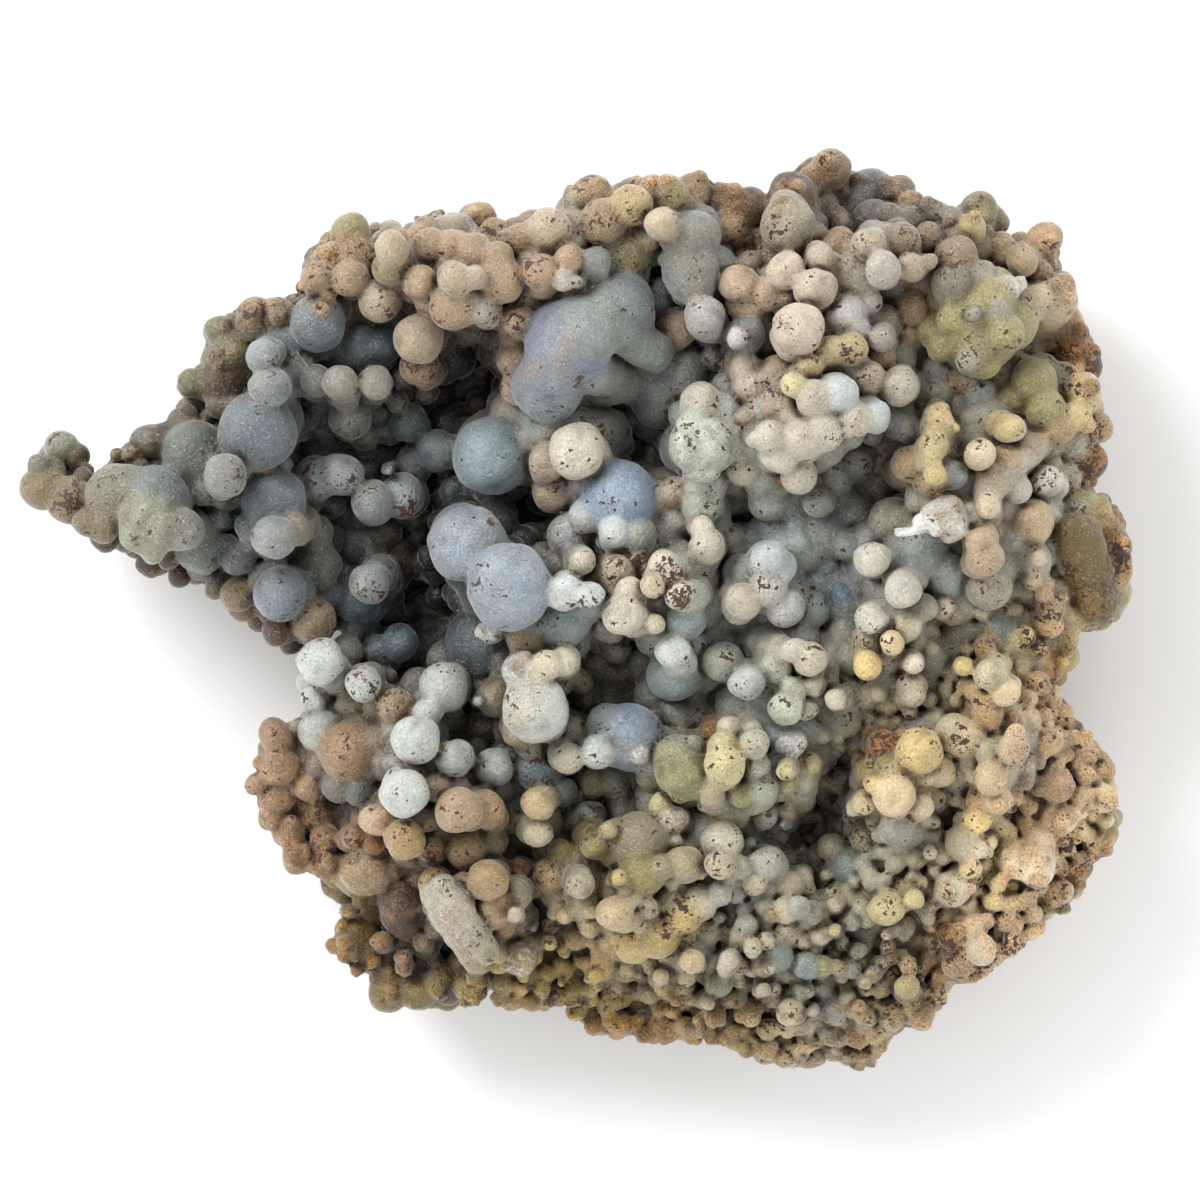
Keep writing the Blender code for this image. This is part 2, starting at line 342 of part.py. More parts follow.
def rim_balls(random):
    """Rows of balls round the edge: the upper one on the outline, the lower ones drawn in with the side."""
    corners = np.array(OUTLINE, dtype=float)
    balls = []
    for start, end in zip(corners, np.roll(corners, -1, axis=0)):
        length = math.hypot(*(end - start))
        inward = np.array((end[1] - start[1], start[0] - end[0])) / length
        count = max(1, round(length / RIM_SPACING))
        for k in range(count):
            place = start + (end - start) * (k + 0.5) / count
            for height, inset, smallest, largest in RIM_ROWS:
                r = random.uniform(smallest, largest)
                cx, cy = place + inward * (inset + r)
                balls.append((cx, cy, height + random.uniform(-RIM_SCATTER, RIM_SCATTER), r))
    balls = np.array(balls)
    clear = inside_distance(balls[:, 0], balls[:, 1]) > RIM_CLEARANCE * balls[:, 3]
    return [tuple(ball) for ball in balls[clear]]


def ball_arrays(balls):
    """Corners and triangles of a round ball for each centre and radius."""
    bm = bmesh.new()
    bmesh.ops.create_icosphere(bm, subdivisions=2, radius=1)
    corners = np.array([vert.co for vert in bm.verts])
    triangles = np.array([[vert.index for vert in face.verts] for face in bm.faces])
    bm.free()
    centres = np.array(balls)
    verts = corners[None] * centres[:, None, 3:] + centres[:, None, :3]
    faces = triangles[None] + np.arange(len(balls))[:, None, None] * len(corners)
    return verts.reshape(-1, 3), faces.reshape(-1, 3)


def grown_object(matrix, balls):
    """The grown shape as one skin: the parts are fused, evened out and thinned to a few triangles."""
    matrix_verts = np.array([vert.co for vert in matrix.verts])
    matrix.verts.index_update()
    matrix_faces = [[vert.index for vert in face.verts] for face in matrix.faces]
    matrix.free()
    ball_verts, ball_faces = ball_arrays(balls)
    verts = np.concatenate((matrix_verts, ball_verts)) * MM
    faces = matrix_faces + (ball_faces + len(matrix_verts)).tolist()
    mesh = bpy.data.meshes.new("grape_agate")
    mesh.from_pydata(verts.tolist(), [], faces)
    obj = bpy.data.objects.new("grape_agate", mesh)
    bpy.context.collection.objects.link(obj)
    fuse = obj.modifiers.new("fuse", "REMESH")
    fuse.mode = "VOXEL"
    fuse.voxel_size = VOXEL * MM
    even = obj.modifiers.new("even", "SMOOTH")
    even.factor = 0.5
    even.iterations = SMOOTHING
    keep_largest_body(obj)
    thin = obj.modifiers.new("thin", "DECIMATE")
    thin.use_collapse_triangulate = True
    thin.ratio = TRIANGLES / (2 * len(obj.data.polygons))
    keep_largest_body(obj)
    return obj


def keep_largest_body(obj):
    """Takes the evaluated mesh as the object's own and drops sealed hollows and loose grains."""
    evaluated = obj.evaluated_get(bpy.context.evaluated_depsgraph_get())
    bm = bmesh.new()
    bm.from_mesh(evaluated.to_mesh())
    obj.modifiers.clear()
    unseen = set(bm.verts)
    bodies = []
    while unseen:
        body = {unseen.pop()}
        edge_of_body = list(body)
        while edge_of_body:
            vert = edge_of_body.pop()
            for edge in vert.link_edges:
                other = edge.other_vert(vert)
                if other in unseen:
                    unseen.discard(other)
                    body.add(other)
                    edge_of_body.append(other)
        bodies.append(body)
    largest = max(bodies, key=len)
    bmesh.ops.delete(bm, geom=[vert for vert in bm.verts if vert not in largest], context="VERTS")
    bm.to_mesh(obj.data)
    bm.free()


def cut_foot(obj):
    """Cuts the underside flat, to make the face that the piece rests on."""
    bm = bmesh.new()
    bmesh.ops.create_cube(bm, size=1)
    depth = 4 * BELOW_FOOT * MM
    bmesh.ops.scale(bm, vec=(2 * LENGTH * MM, 2 * WIDTH * MM, depth), verts=bm.verts)
    bmesh.ops.translate(bm, vec=(0, 0, -depth / 2), verts=bm.verts)
    mesh = bpy.data.meshes.new("foot_cutter")
    bm.to_mesh(mesh)
    bm.free()
    cutter = bpy.data.objects.new("foot_cutter", mesh)
    bpy.context.collection.objects.link(cutter)
    cutter.hide_render = True
    cutter.display_type = "WIRE"
    cut = obj.modifiers.new("foot", "BOOLEAN")
    cut.operation = "DIFFERENCE"
    cut.solver = "EXACT"
    cut.object = cutter


def chalcedony():
    """Grey-blue to cream chalcedony with a waxy surface."""
    material = bpy.data.materials.new("chalcedony")
    material.use_nodes = True
    shader = material.node_tree.nodes["Principled BSDF"]
    shader.inputs["Base Color"].default_value = (0.46, 0.43, 0.36, 1)
    shader.inputs["Roughness"].default_value = 0.42
    shader.inputs["Metallic"].default_value = 0
    return material


def build():
    """Builds the whole piece."""
    clear_scene()
    random = np.random.default_rng(SEED)
    balls = measured_balls() + filling_balls(random) + rim_balls(random)
    agate = grown_object(matrix_mesh(), balls)
    cut_foot(agate)
    agate.data.shade_smooth()
    agate.data.materials.append(chalcedony())


build()
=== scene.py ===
import math

import bpy
import numpy as np
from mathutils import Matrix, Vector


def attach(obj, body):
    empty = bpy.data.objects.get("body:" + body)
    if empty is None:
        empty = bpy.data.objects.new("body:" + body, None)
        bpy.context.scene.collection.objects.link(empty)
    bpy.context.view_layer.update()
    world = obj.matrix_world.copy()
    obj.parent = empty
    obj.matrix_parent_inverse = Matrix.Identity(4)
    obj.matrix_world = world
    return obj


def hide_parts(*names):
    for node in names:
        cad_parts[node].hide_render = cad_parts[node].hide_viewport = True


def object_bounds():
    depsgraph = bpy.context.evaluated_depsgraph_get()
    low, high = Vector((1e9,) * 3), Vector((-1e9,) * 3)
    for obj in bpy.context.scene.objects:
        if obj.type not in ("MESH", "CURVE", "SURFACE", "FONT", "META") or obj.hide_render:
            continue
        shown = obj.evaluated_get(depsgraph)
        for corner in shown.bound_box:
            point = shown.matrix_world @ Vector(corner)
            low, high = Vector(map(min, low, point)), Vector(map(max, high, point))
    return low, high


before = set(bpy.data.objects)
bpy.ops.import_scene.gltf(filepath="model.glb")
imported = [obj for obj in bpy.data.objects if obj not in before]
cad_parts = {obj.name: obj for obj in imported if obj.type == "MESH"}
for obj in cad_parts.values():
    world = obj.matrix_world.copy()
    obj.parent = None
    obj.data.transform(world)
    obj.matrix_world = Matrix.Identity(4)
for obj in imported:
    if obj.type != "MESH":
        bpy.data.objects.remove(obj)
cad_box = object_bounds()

import openvdb
from mathutils import Euler, Vector

# Grape agate seen from straight above, on a pale ground. The tables are in millimetres in the frame's axes.
# Each ball is a row of x, y, radius, how far it stands up, and its tone.
# 0 is deep between its neighbours, 1 is level with the growth surface, 2 stands up, 3 stands in front.
MM = 0.001
SEED = 7

# The camera looks straight down at the middle of the picture, which is 150 mm wide at the height of the rim
PICTURE_WIDTH = 150.0
PICTURE_CENTRE = (3.1, 2.0)
SENSOR = 36.0
LENS = 200.0
RIM_PLANE = 24.0
CAMERA_HEIGHT = RIM_PLANE + PICTURE_WIDTH * LENS / SENSOR

# Shape of the whole piece
EDGE_TOP = 15.0
SHOULDER_WIDTH = 8.0
SHOULDER_RISE = 31.0
FOOT_INSET = 15.0
UNDERSIDE_RISE = 20.0
UNDERSIDE_CURVE = 1.5
FOOT_DROP = 3.0
RELIEF_REACH = 3.6
STAND_UP = (-3.0, 0.5, 3.2, 6.2)
MATRIX_DEPTH = 6.0
MATRIX_INSET = 1.6

# How the balls hand their looks to the skin and to the fill round them
LOOK_REACH = 2.5
LOOK_BLOCK = 7.0
LOOK_MARGIN = 1.0
LOOK_BLEND = 0.22
LOOK_FADE = 1.0
LEAST_WEIGHT = 1e-9
BALL_SHADE = (0.93, 1.05)

# Half the length and half the width of the area that small balls are strewn over
HALF_LENGTH = 70
HALF_WIDTH = 59

# Column under a ball: its steps, stray and growth as shares of the radius, and how each step dims it
COLUMN_RADIUS = 2.2
COLUMN_STEP = 1.1
COLUMN_STRAY = 0.2
COLUMN_GROWTH = 1.06
COLUMN_LEAST = 0.96
COLUMN_SPREAD = (0.88, 1.04)
COLUMN_DIM = 0.93

# Columns nearer to the edge than this lean inwards, and fully once they are nearer by the span
EDGE_LEAN = 0.45
LEAN_FROM = 6
LEAN_SPAN = 4
SLOPE_STEP = 0.5

# Big balls of these tones carry knobs, whose sizes are shares of the big ball's radius
KNOBBY_FROM = 3.2
KNOBBY_TONES = "oGty"
KNOBS = 18
GOLDEN_TURN = 2.4
KNOB_STRAY = 0.4
KNOB_RISE = (0.05, 0.97)
KNOB_SIZE = (0.2, 0.42)
KNOB_SINK = 0.45
KNOB_SHADE = (0.88, 1.12)

# Crumbs strewn on the crust, and how they are coloured on average
CRUMBS = 7000
CRUMB_X = (-45, 70)
CRUMB_RADIUS = 0.5
CRUMB_SPREAD = 0.8
CRUMB_SINK = (-0.5, 0.35)
CRUMB_SHADE = (0.8, 1.2)
CRUMB_TINT = 0.5
CRUMB_COLOUR = (0.68, 0.56, 0.43)

# Angular pieces of crystal: middle in plan, height over the growth surface, half sizes,
# turn, tilt, tone
SHARDS = (
    (46.0, 12.6, 5.6, (2.5, 1.7, 2.2), 0.5, 0.5, "x"),
    (47.2, 11.2, 5.2, (1.5, 1.2, 2.0), -0.6, 0.9, "x"),
    (44.4, 11.8, 5.2, (2.1, 1.0, 1.2), 0.2, -0.3, "x"),
    (41.8, 10.7, 5.4, (2.0, 0.5, 0.6), 0.1, 0.2, "x"),
    (-11.2, -2.1, 4.4, (1.5, 0.7, 1.2), -0.5, 0.5, "x"),
    (-6.4, -6.3, 6.0, (1.5, 1.4, 1.3), 0.7, 0.4, "x"),
    (27.4, -15.8, 3.4, (1.5, 0.9, 1.2), 0.6, 0.6, "x"),
    (54.8, 41.2, 5.2, (1.7, 0.9, 1.1), 0.5, 0.4, "x"),
)

# Their tilt the other way as a share of the first, the edge that is cut off, and how far their looks reach
SECOND_TILT = 0.5
CHAMFER = 0.7
CHAMFER_SHARE = 0.5
SHARD_LOOK = 0.8

# Jagged bits of crust, strewn over the lower part but kept only in a narrow band along the edge
JAGS = 900
JAG_TONES = "tyto"
JAG_X = (-32, 66)
JAG_Y = (-59, -20)
JAG_BAND = (1.2, 3.4)
JAG_HALF = (0.5, 1.3)
JAG_RISE = (0.4, 1.6)
JAG_TILT = 0.8

# Layers of filling balls: spacing, radii, how far their tops lie under the surface, dimming,
# the zone they are in, and the tone that they lean to
FILLING = (
    (2.8, (1.2, 2.2), (0.5, 3.0), 0.90, "all", None),
    (2.8, (1.4, 2.6), (2.5, 5.0), 0.80, "all", None),
    (2.1, (0.85, 1.4), (-1.6, 0.4), 1.10, "fine", None),
    (2.4, (1.2, 1.8), (0.8, 2.2), 1.00, "fine", "g"),
    (3.3, (1.8, 2.7), (-0.8, 1.4), 1.10, "right", "b"),
    (3.0, (1.4, 2.4), (-0.5, 1.5), 0.98, "upper", "g"),
)
FILL_CLEARANCE = 0.2
FILL_SHADE = 0.08
FILL_LEAN = 0.6
FILL_DRUSE = 0.3

# Zones with soft straight edges, each a ramp along a mix of x and y with its start and its span
ZONES = {
    "all": (),
    "fine": ((1, -1.3, 44, 16),),
    "right": ((1, 0, 2, 6), (0, 1, -28, 8), (0, -1, -33, 6)),
}

# The round zone on the upper rim
UPPER_MIDDLE = (-5, 42)
UPPER_REACH = 16
UPPER_FADE = 5

# Zones that the crumbs lie in, and how many lie along the rim away from the middle
CRUST_ZONES = (
    ((1, 0, 50, 8), (0, -1, 6, 6)),
    ((0, -1, 46, 5),),
    ((1, -1, 78, 14),),
)
RIM_CRUMBS = 0.6
RIM_BAND = 5
RIM_FADE = 3
RIM_FROM = 55
RIM_SPAN = 10

# Rows of lumps down the sides: height, inset, smallest and largest radius, spacing
SIDE_ROWS = (
    (19.0, 0.1, 0.9, 1.9, 1.9),
    (15.5, 0.6, 0.9, 2.2, 2.2),
    (11.5, 1.8, 1.2, 2.6, 2.8),
    (7.5, 4.2, 1.6, 3.2, 3.6),
    (3.5, 8.0, 2.2, 4.0, 4.4),
)

# Where those rows begin, how they scatter, how near the stone they must be, and where they are worn
SIDE_START = 0.5
SIDE_SCATTER = 1.2
SIDE_GRIP = 0.3
SIDE_CLEARANCE = 0.9
SIDE_SHADE = (0.82, 1.0)
WORN_FROM = 14
WORN_SPAN = 10
MATRIX_LOOK = (0.50, 0.435, 0.355, 0.0, 0.5, 0.8)

# What the lower edge loses of its red, green and blue, and where
LOW_DIRT = (0.13, 0.17, 0.33)
DIRT_BAND = 10
DIRT_FADE = 6
DIRT_ZONE = ((0, -1, 26, 8),)
DIRT_LEFT = ((-1, 0, -30, 20),)
DIRT_LEAST = 0.15

# Wide places that are paler or dimmer than the rest, the dim back of the upper rim being painted shade:
# middle, reach, and what red, green and blue are multiplied by
TONE_AND_SHADE_PATCHES = (
    (55.0, -36.0, 11.0, (1.17, 1.16, 1.18)),
    # painted shade on the back of the upper rim
    (42.0, 52.0, 9.0, (0.86, 0.88, 0.90)),
    (6.0, 10.0, 18.0, (1.10, 1.10, 1.10)),
    (-35.0, 24.0, 16.0, (0.90, 0.90, 0.91)),
    (26.0, 40.0, 9.0, (1.12, 1.12, 1.11)),
)
PATCH_FADE = 1.5

# Colours on the balls: painted shade in the hollows and creases, painted glints on the skin and on druse
# facets, rust and specks
HOLLOW_SHADE_COLOUR = (0.15, 0.135, 0.12, 1)
CREASE_SHADE_COLOUR = (0.28, 0.21, 0.15, 1)
GLINT_COLOUR = (0.62, 0.62, 0.58, 1)
FACET_GLINT_COLOUR = (0.75, 0.75, 0.72, 1)
RUST_COLOUR = (0.22, 0.105, 0.035, 1)
SPECK_COLOUR = (0.05, 0.02, 0.007, 1)
VIVID = 1.25
GAMMA = 2.2

# Light and ground. The sky's brightness goes from the level to straight up
SKY_STRENGTH = 2.0
SKY_ENDS = (1, 0.12)
SKY_STOPS = ((0.45, 1.0), (0.8, 0.45))
KEY_ENERGY = 6.0
KEY_SIZE = 0.45
KEY_PLACE = (-0.45, 0.45, 0.65)
KEY_AIM = (0.0, 0.0, 0.02)
GROUND_SIZE = 6.0
GROUND_COLOUR = (0.9, 0.9, 0.9, 1)
GROUND_ROUGHNESS = 0.9

# Noises of the material: waves per mm, detail, roughness
COARSE_NOISE = (0.45, 3.0, 0.65)
MIDDLE_NOISE = (1.7, 3.0, 0.7)
FINE_NOISE = (3.3, 2.0, 0.65)
GROUP_NOISE = (0.2, 1.0, 0.5)
SPOT_NOISE = (0.9, 2.0, 0.7)

# Marks of the material: where each begins and is full, and how strongly it shows
SHADE_SLOPE = (0.9, 0.58)
GRAIN_SLOPE = (1.1, 0.45)
CREASE_EDGES = (0.12, 0.85)
GLINT_EDGES = (0.6, 0.7)
GLINT_STRENGTH = 0.3
STAIN_BY_RUST = 0.24
STAIN_BY_CREASE = 0.1
STAIN_EDGES = (0.68, 0.79)
STAIN_STRENGTH = 0.7
GROUP_BY_RUST = 0.16
GROUP_STRENGTH = 0.5
MIDDLE_SPECKS = 0.955
SPOT_SPECKS = 0.94
SPECK_EDGE = 0.012
PIT_SHADE_EDGES = (0.5, 0.38)
PIT_SHADE_STRENGTH = 0.55
FACET_GLINT_EDGES = (0.5, 0.62)
FACET_GLINT_STRENGTH = 0.45

# Surface of the material: roughness from the grain, the grit and the druse, bumps, and a dusty sheen
ROUGH_SLOPE = (0.2, 0.12)
ROUGH_BY_GRIT = 0.25
ROUGH_BY_DRUSE = -0.22
BUMP_BY_GRIT = 1.5
BUMP_STRENGTH = 0.8
BUMP_HEIGHT = 0.35
SHEEN = 0.55
SHEEN_ROUGHNESS = 0.3

# Grid that the surface is found on
CELL = 0.4
MARGIN = 2.0
BLEND_LEAST = 0.08
BLEND_BY_RADIUS = 0.16
BOX_GAP = 0.35
FIELD_REACH = 2.0
STRETCH_ROOM = 1.1
SHARD_REACH = 4.0
BAND_CELLS = 4
KEPT_TRIANGLES = 0.5

# A place is kept this many cells short of the grid's end, so that the next cell is still on the grid
LAST_CELL = 1.001

# How the creases and hollows that get painted shade are found: ways out from the skin, and how far a place
# lies below the tops round it
CREASE_WAYS = (0.35, 0.75)
HOLLOW_REACH = 4.5
HOLLOW_START = 5.5
HOLLOW_SPAN = 12.0
HOLLOW_RIM = 3
HOLLOW_FADE = 6

# How uneven the balls are: stretch, and waves of a length and reach along three slanting directions
UNEVEN = 0.06
WAVES = ((6.1, 0.13), (2.9, 0.04))
WAVE_BEND = 1.7
WAVE_BEND_PITCH = 0.37
WAVE_TURNS = np.array(((0.36, 0.80, -0.48), (-0.60, 0.64, 0.48), (0.77, -0.32, 0.55)))

# Left nose
NOSE = [
    (-66.9, 16.1, 2.8, 1, "t"), (-64.3, 21.3, 2.1, 2, "G"), (-62.4, 19.9, 1.8, 2, "n"),
    (-61, 18.4, 1, 1, "n"), (-67.3, 18.9, 1.4, 1, "g"), (-62.8, 14.4, 3, 1, "t"),
    (-60.9, 11.7, 1.9, 2, "t"), (-59, 11.2, 2.3, 2, "p"), (-58.7, 9.9, 1.9, 1, "n"),
    (-57, 15.2, 4.1, 2, "g"), (-52.5, 14.3, 4.7, 2, "B"), (-53, 11.3, 3.9, 3, "G"),
    (-49.1, 10.8, 2.7, 3, "w"), (-53.4, 21.9, 2.2, 1, "g"), (-51.6, 22.1, 2, 1, "n"),
    (-57.2, 20.3, 1, 1, "t"), (-55.8, 20.2, 0.9, 1, "t"), (-47.5, 20.1, 4.2, 1, "b"),
    (-43.7, 17.6, 2.8, 3, "w"), (-46, 24.9, 0.9, 0, "p"), (-47.8, 29.1, 1.9, 1, "o"),
    (-53.2, 6.6, 1.9, 0, "n"), (-49.4, 5.1, 1.5, 0, "n"), (-46.8, 8.5, 3.2, 1, "b"),
    (-42.2, 7.2, 2.1, 1, "s"), (-45, 3.2, 1.3, 0, "o"), (-42, 2.6, 2.3, 1, "t"), (-41.6, 1.3, 1.9, 2, "t"),
    (-44, 12.8, 2.3, 0, "s"),
]
# Upper left rim and the hollow behind it
HOLLOW = [
    (-44.6, 35.7, 1.9, 1, "o"), (-43, 33, 2.5, 1, "o"), (-43.8, 29.3, 3.3, 1, "n"),
    (-45.4, 32.4, 1.3, 1, "o"), (-39.8, 37, 2.9, 1, "t"), (-36.4, 37.7, 2, 1, "n"),
    (-39, 32.5, 2.2, 3, "w"), (-38.1, 28.6, 2.65, 3, "w"), (-35.7, 34.1, 1.9, 1, "b"),
    (-34.8, 31.2, 2.2, 1, "b"), (-32.3, 29.5, 2.1, 2, "g"), (-32.2, 36.6, 3.5, 2, "b"),
    (-29.8, 38.3, 1.9, 1, "n"), (-30.5, 32.4, 1.8, 0, "s"), (-32, 27, 2.3, 0, "s"),
    (-29.4, 29.3, 2.2, 3, "c"), (-25, 29.2, 2.15, 3, "c"), (-27, 33.6, 3, 1, "b"),
    (-24.4, 33.6, 2.5, 1, "s"), (-33.5, 24.2, 2.5, 0, "s"), (-33, 21.2, 2.5, 0, "b"),
    (-39.7, 23, 4.7, 2, "b"), (-28.2, 24.8, 2.7, 2, "g"), (-26.4, 22.5, 1.8, 1, "g"),
    (-20.8, 24.2, 2.5, 1, "b"), (-20.2, 18.8, 2.5, 1, "b"), (-24.7, 20, 2.4, 0, "s"),
    (-37.6, 14.4, 4.1, 1, "b"), (-32.3, 17.2, 2.7, 2, "w"), (-29.2, 17.7, 2.85, 3, "w"),
    (-25.3, 14.2, 2.9, 3, "w"), (-21.4, 15, 2.9, 3, "w"), (-23.1, 18, 0.6, 3, "w"),
    (-37.7, 9.9, 2.8, 3, "w"), (-35.2, 10.9, 2.2, 2, "p"), (-32.6, 10.2, 2.4, 1, "g"),
    (-32, 6.4, 2.7, 1, "g"), (-30.4, 13, 2.6, 0, "s"), (-28, 8.5, 2.8, 0, "b"), (-23.3, 9.2, 2.3, 0, "n"),
    (-36.9, 2.7, 3.4, 2, "B"), (-25.8, 4.1, 2.6, 3, "w"), (-27.2, 1.8, 2.9, 1, "s"),
    (-26, -2.5, 1.6, 0, "s"), (-32.8, -0.6, 3, 1, "t"), (-37.4, -2, 1.8, 1, "n"),
    (-39.6, -0.6, 1.5, 0, "t"), (-35.3, -3.5, 1.5, 0, "n"),
]
# Upper rim
RIM = [
    (-24.5, 39.4, 2.6, 2, "c"), (-28.2, 42.2, 2.4, 2, "p"), (-28.1, 48, 2.5, 1, "o"),
    (-27.5, 45, 2.8, 1, "t"), (-31.3, 44.2, 2, 1, "t"), (-32.3, 42.3, 2.2, 2, "p"),
    (-33.9, 41, 1.2, 1, "t"), (-23, 45.9, 2.2, 3, "c"), (-23.3, 43.5, 2.3, 2, "o"), (-23, 48, 1.5, 1, "g"),
    (-24.9, 48.6, 0.9, 1, "c"), (-19.6, 34.6, 3, 3, "c"), (-19.5, 31, 2.4, 2, "t"),
    (-19.4, 41.8, 2.1, 2, "p"), (-18.4, 39.6, 2, 1, "p"), (-14.9, 42, 2.1, 3, "c"),
    (-12.8, 42.4, 1.3, 3, "c"), (-15, 38.8, 3.1, 3, "p"), (-12.2, 38.5, 2, 3, "w"), (-9.2, 42, 3, 2, "p"),
    (-9.6, 44.8, 2, 2, "p"), (-18.3, 46.5, 2, 2, "p"), (-15.6, 46.1, 2.2, 2, "p"),
    (-12.6, 45.4, 2.4, 2, "p"), (-11.8, 49.8, 2.1, 1, "p"), (-10.1, 48, 1.9, 1, "t"),
    (-17.2, 49.4, 1.3, 0, "w"), (-15.4, 49.1, 1.3, 0, "g"), (-19.3, 48.9, 0.8, 0, "p"),
    (-7, 47.2, 1.9, 1, "t"), (-3.2, 48.3, 2.8, 2, "c"), (-4.5, 43, 2.3, 2, "p"), (-1.3, 42, 1.5, 2, "w"),
    (0.2, 41.8, 0.8, 2, "w"), (-1, 44.6, 1.7, 2, "p"), (2.4, 44, 2.2, 2, "b"), (2, 52.3, 2.9, 1, "t"),
    (3.6, 49.2, 2.8, 2, "p"), (-0.2, 48, 1.7, 1, "p"), (-7.2, 37, 2.25, 2, "p"), (-7.5, 32.2, 2.6, 2, "p"),
    (-15, 32, 2.6, 1, "s"), (-11.4, 27.3, 2.1, 0, "s"), (-15, 27.2, 1.8, 0, "s"), (7, 51.3, 2.7, 2, "y"),
    (9.6, 52.6, 2.4, 1, "t"), (12, 52.4, 2.6, 1, "o"), (10.6, 49.1, 2, 3, "c"), (14.8, 53.1, 2.3, 0, "t"),
    (16, 51.8, 1.6, 0, "t"), (19, 51.6, 2.4, 1, "n"), (22, 51.3, 2.4, 1, "n"), (19.5, 48.8, 2, 1, "t"),
    (21.7, 46.6, 2.9, 0, "n"), (26.6, 50.6, 2.6, 2, "g"), (26.6, 48.7, 3.3, 2, "g"),
    (27, 52.8, 2.9, 1, "n"), (6.6, 45.5, 3, 1, "o"), (14.4, 47.3, 3.5, 2, "b"), (14.5, 42.9, 3.7, 2, "b"),
    (17.8, 44, 2.3, 1, "b"), (32, 56.2, 2.6, 1, "t"), (32.5, 52.5, 2.9, 0, "n"), (37, 52.9, 3.4, 0, "s"),
    (35.3, 53.8, 1.9, 0, "b"), (40.6, 53.5, 1.9, 0, "t"), (42.2, 52, 1.2, 0, "t"), (41, 47.2, 2.2, 2, "p"),
    (44, 47.5, 1.9, 1, "t"), (36.7, 46.4, 2.3, 3, "c"), (38.3, 47, 1.9, 2, "g"), (38.4, 43.4, 2.3, 3, "w"),
    (33.2, 46.4, 2.3, 1, "t"), (35.4, 42.6, 3, 1, "g"), (42, 43.7, 1.9, 2, "c"), (44.2, 44.3, 1.1, 2, "c"),
    (47.6, 44.9, 2.5, 2, "p"), (47, 41.4, 2.5, 2, "g"), (42.2, 38.5, 2, 1, "t"), (41.8, 35.3, 2, 1, "p"),
    (38.2, 34.5, 1.65, 2, "w"), (38.3, 32.3, 1.8, 1, "p"), (45, 50.6, 1.6, 1, "g"), (47, 49.6, 1.7, 1, "g"),
    (50.5, 50.7, 2.4, 1, "o"), (49.6, 48.4, 1.9, 2, "y"), (52.3, 49.4, 2, 1, "o"),
]
# Blue mass under the upper rim
BLUE = [
    (4.8, 38.3, 5.1, 2, "b"), (-1, 34, 5.6, 2, "v"), (-3.5, 28.6, 4.5, 2, "b"), (-8, 25.4, 2.6, 1, "g"),
    (-7, 28.6, 2.4, 2, "p"), (-5.5, 22, 3, 1, "g"), (3, 22.6, 2.7, 1, "b"), (9.6, 39.2, 3.2, 0, "s"),
    (12.8, 36, 2.5, 1, "p"), (16.2, 37.3, 2.65, 3, "w"), (20.3, 34.8, 1.4, 3, "w"),
    (21.2, 35.1, 2.4, 2, "b"), (20.5, 41.5, 2.5, 2, "p"), (21.8, 39, 2.7, 1, "p"),
    (26.3, 43.2, 2.3, 2, "c"), (24.4, 40.3, 2.4, 1, "p"), (30.5, 44.8, 1.8, 2, "c"),
    (30.1, 40.9, 2.6, 2, "c"), (31.9, 44, 1.5, 1, "p"), (27.9, 36, 3.2, 3, "c"), (34, 37.9, 2.4, 1, "w"),
    (35.2, 36, 1.8, 1, "w"), (34.4, 33.4, 2.1, 2, "y"), (31.9, 33.3, 2, 2, "y"), (10, 32.8, 2.8, 1, "b"),
    (13.4, 30.4, 3.2, 1, "b"), (10, 26.8, 3, 1, "b"), (6, 30, 3, 1, "b"), (21.4, 31, 2.2, 2, "c"),
    (22.2, 28.8, 2.6, 2, "c"), (25.3, 30.5, 2.3, 1, "p"), (17.8, 32, 1.7, 0, "s"),
    (29.4, 31.4, 1.7, 2, "y"),
]
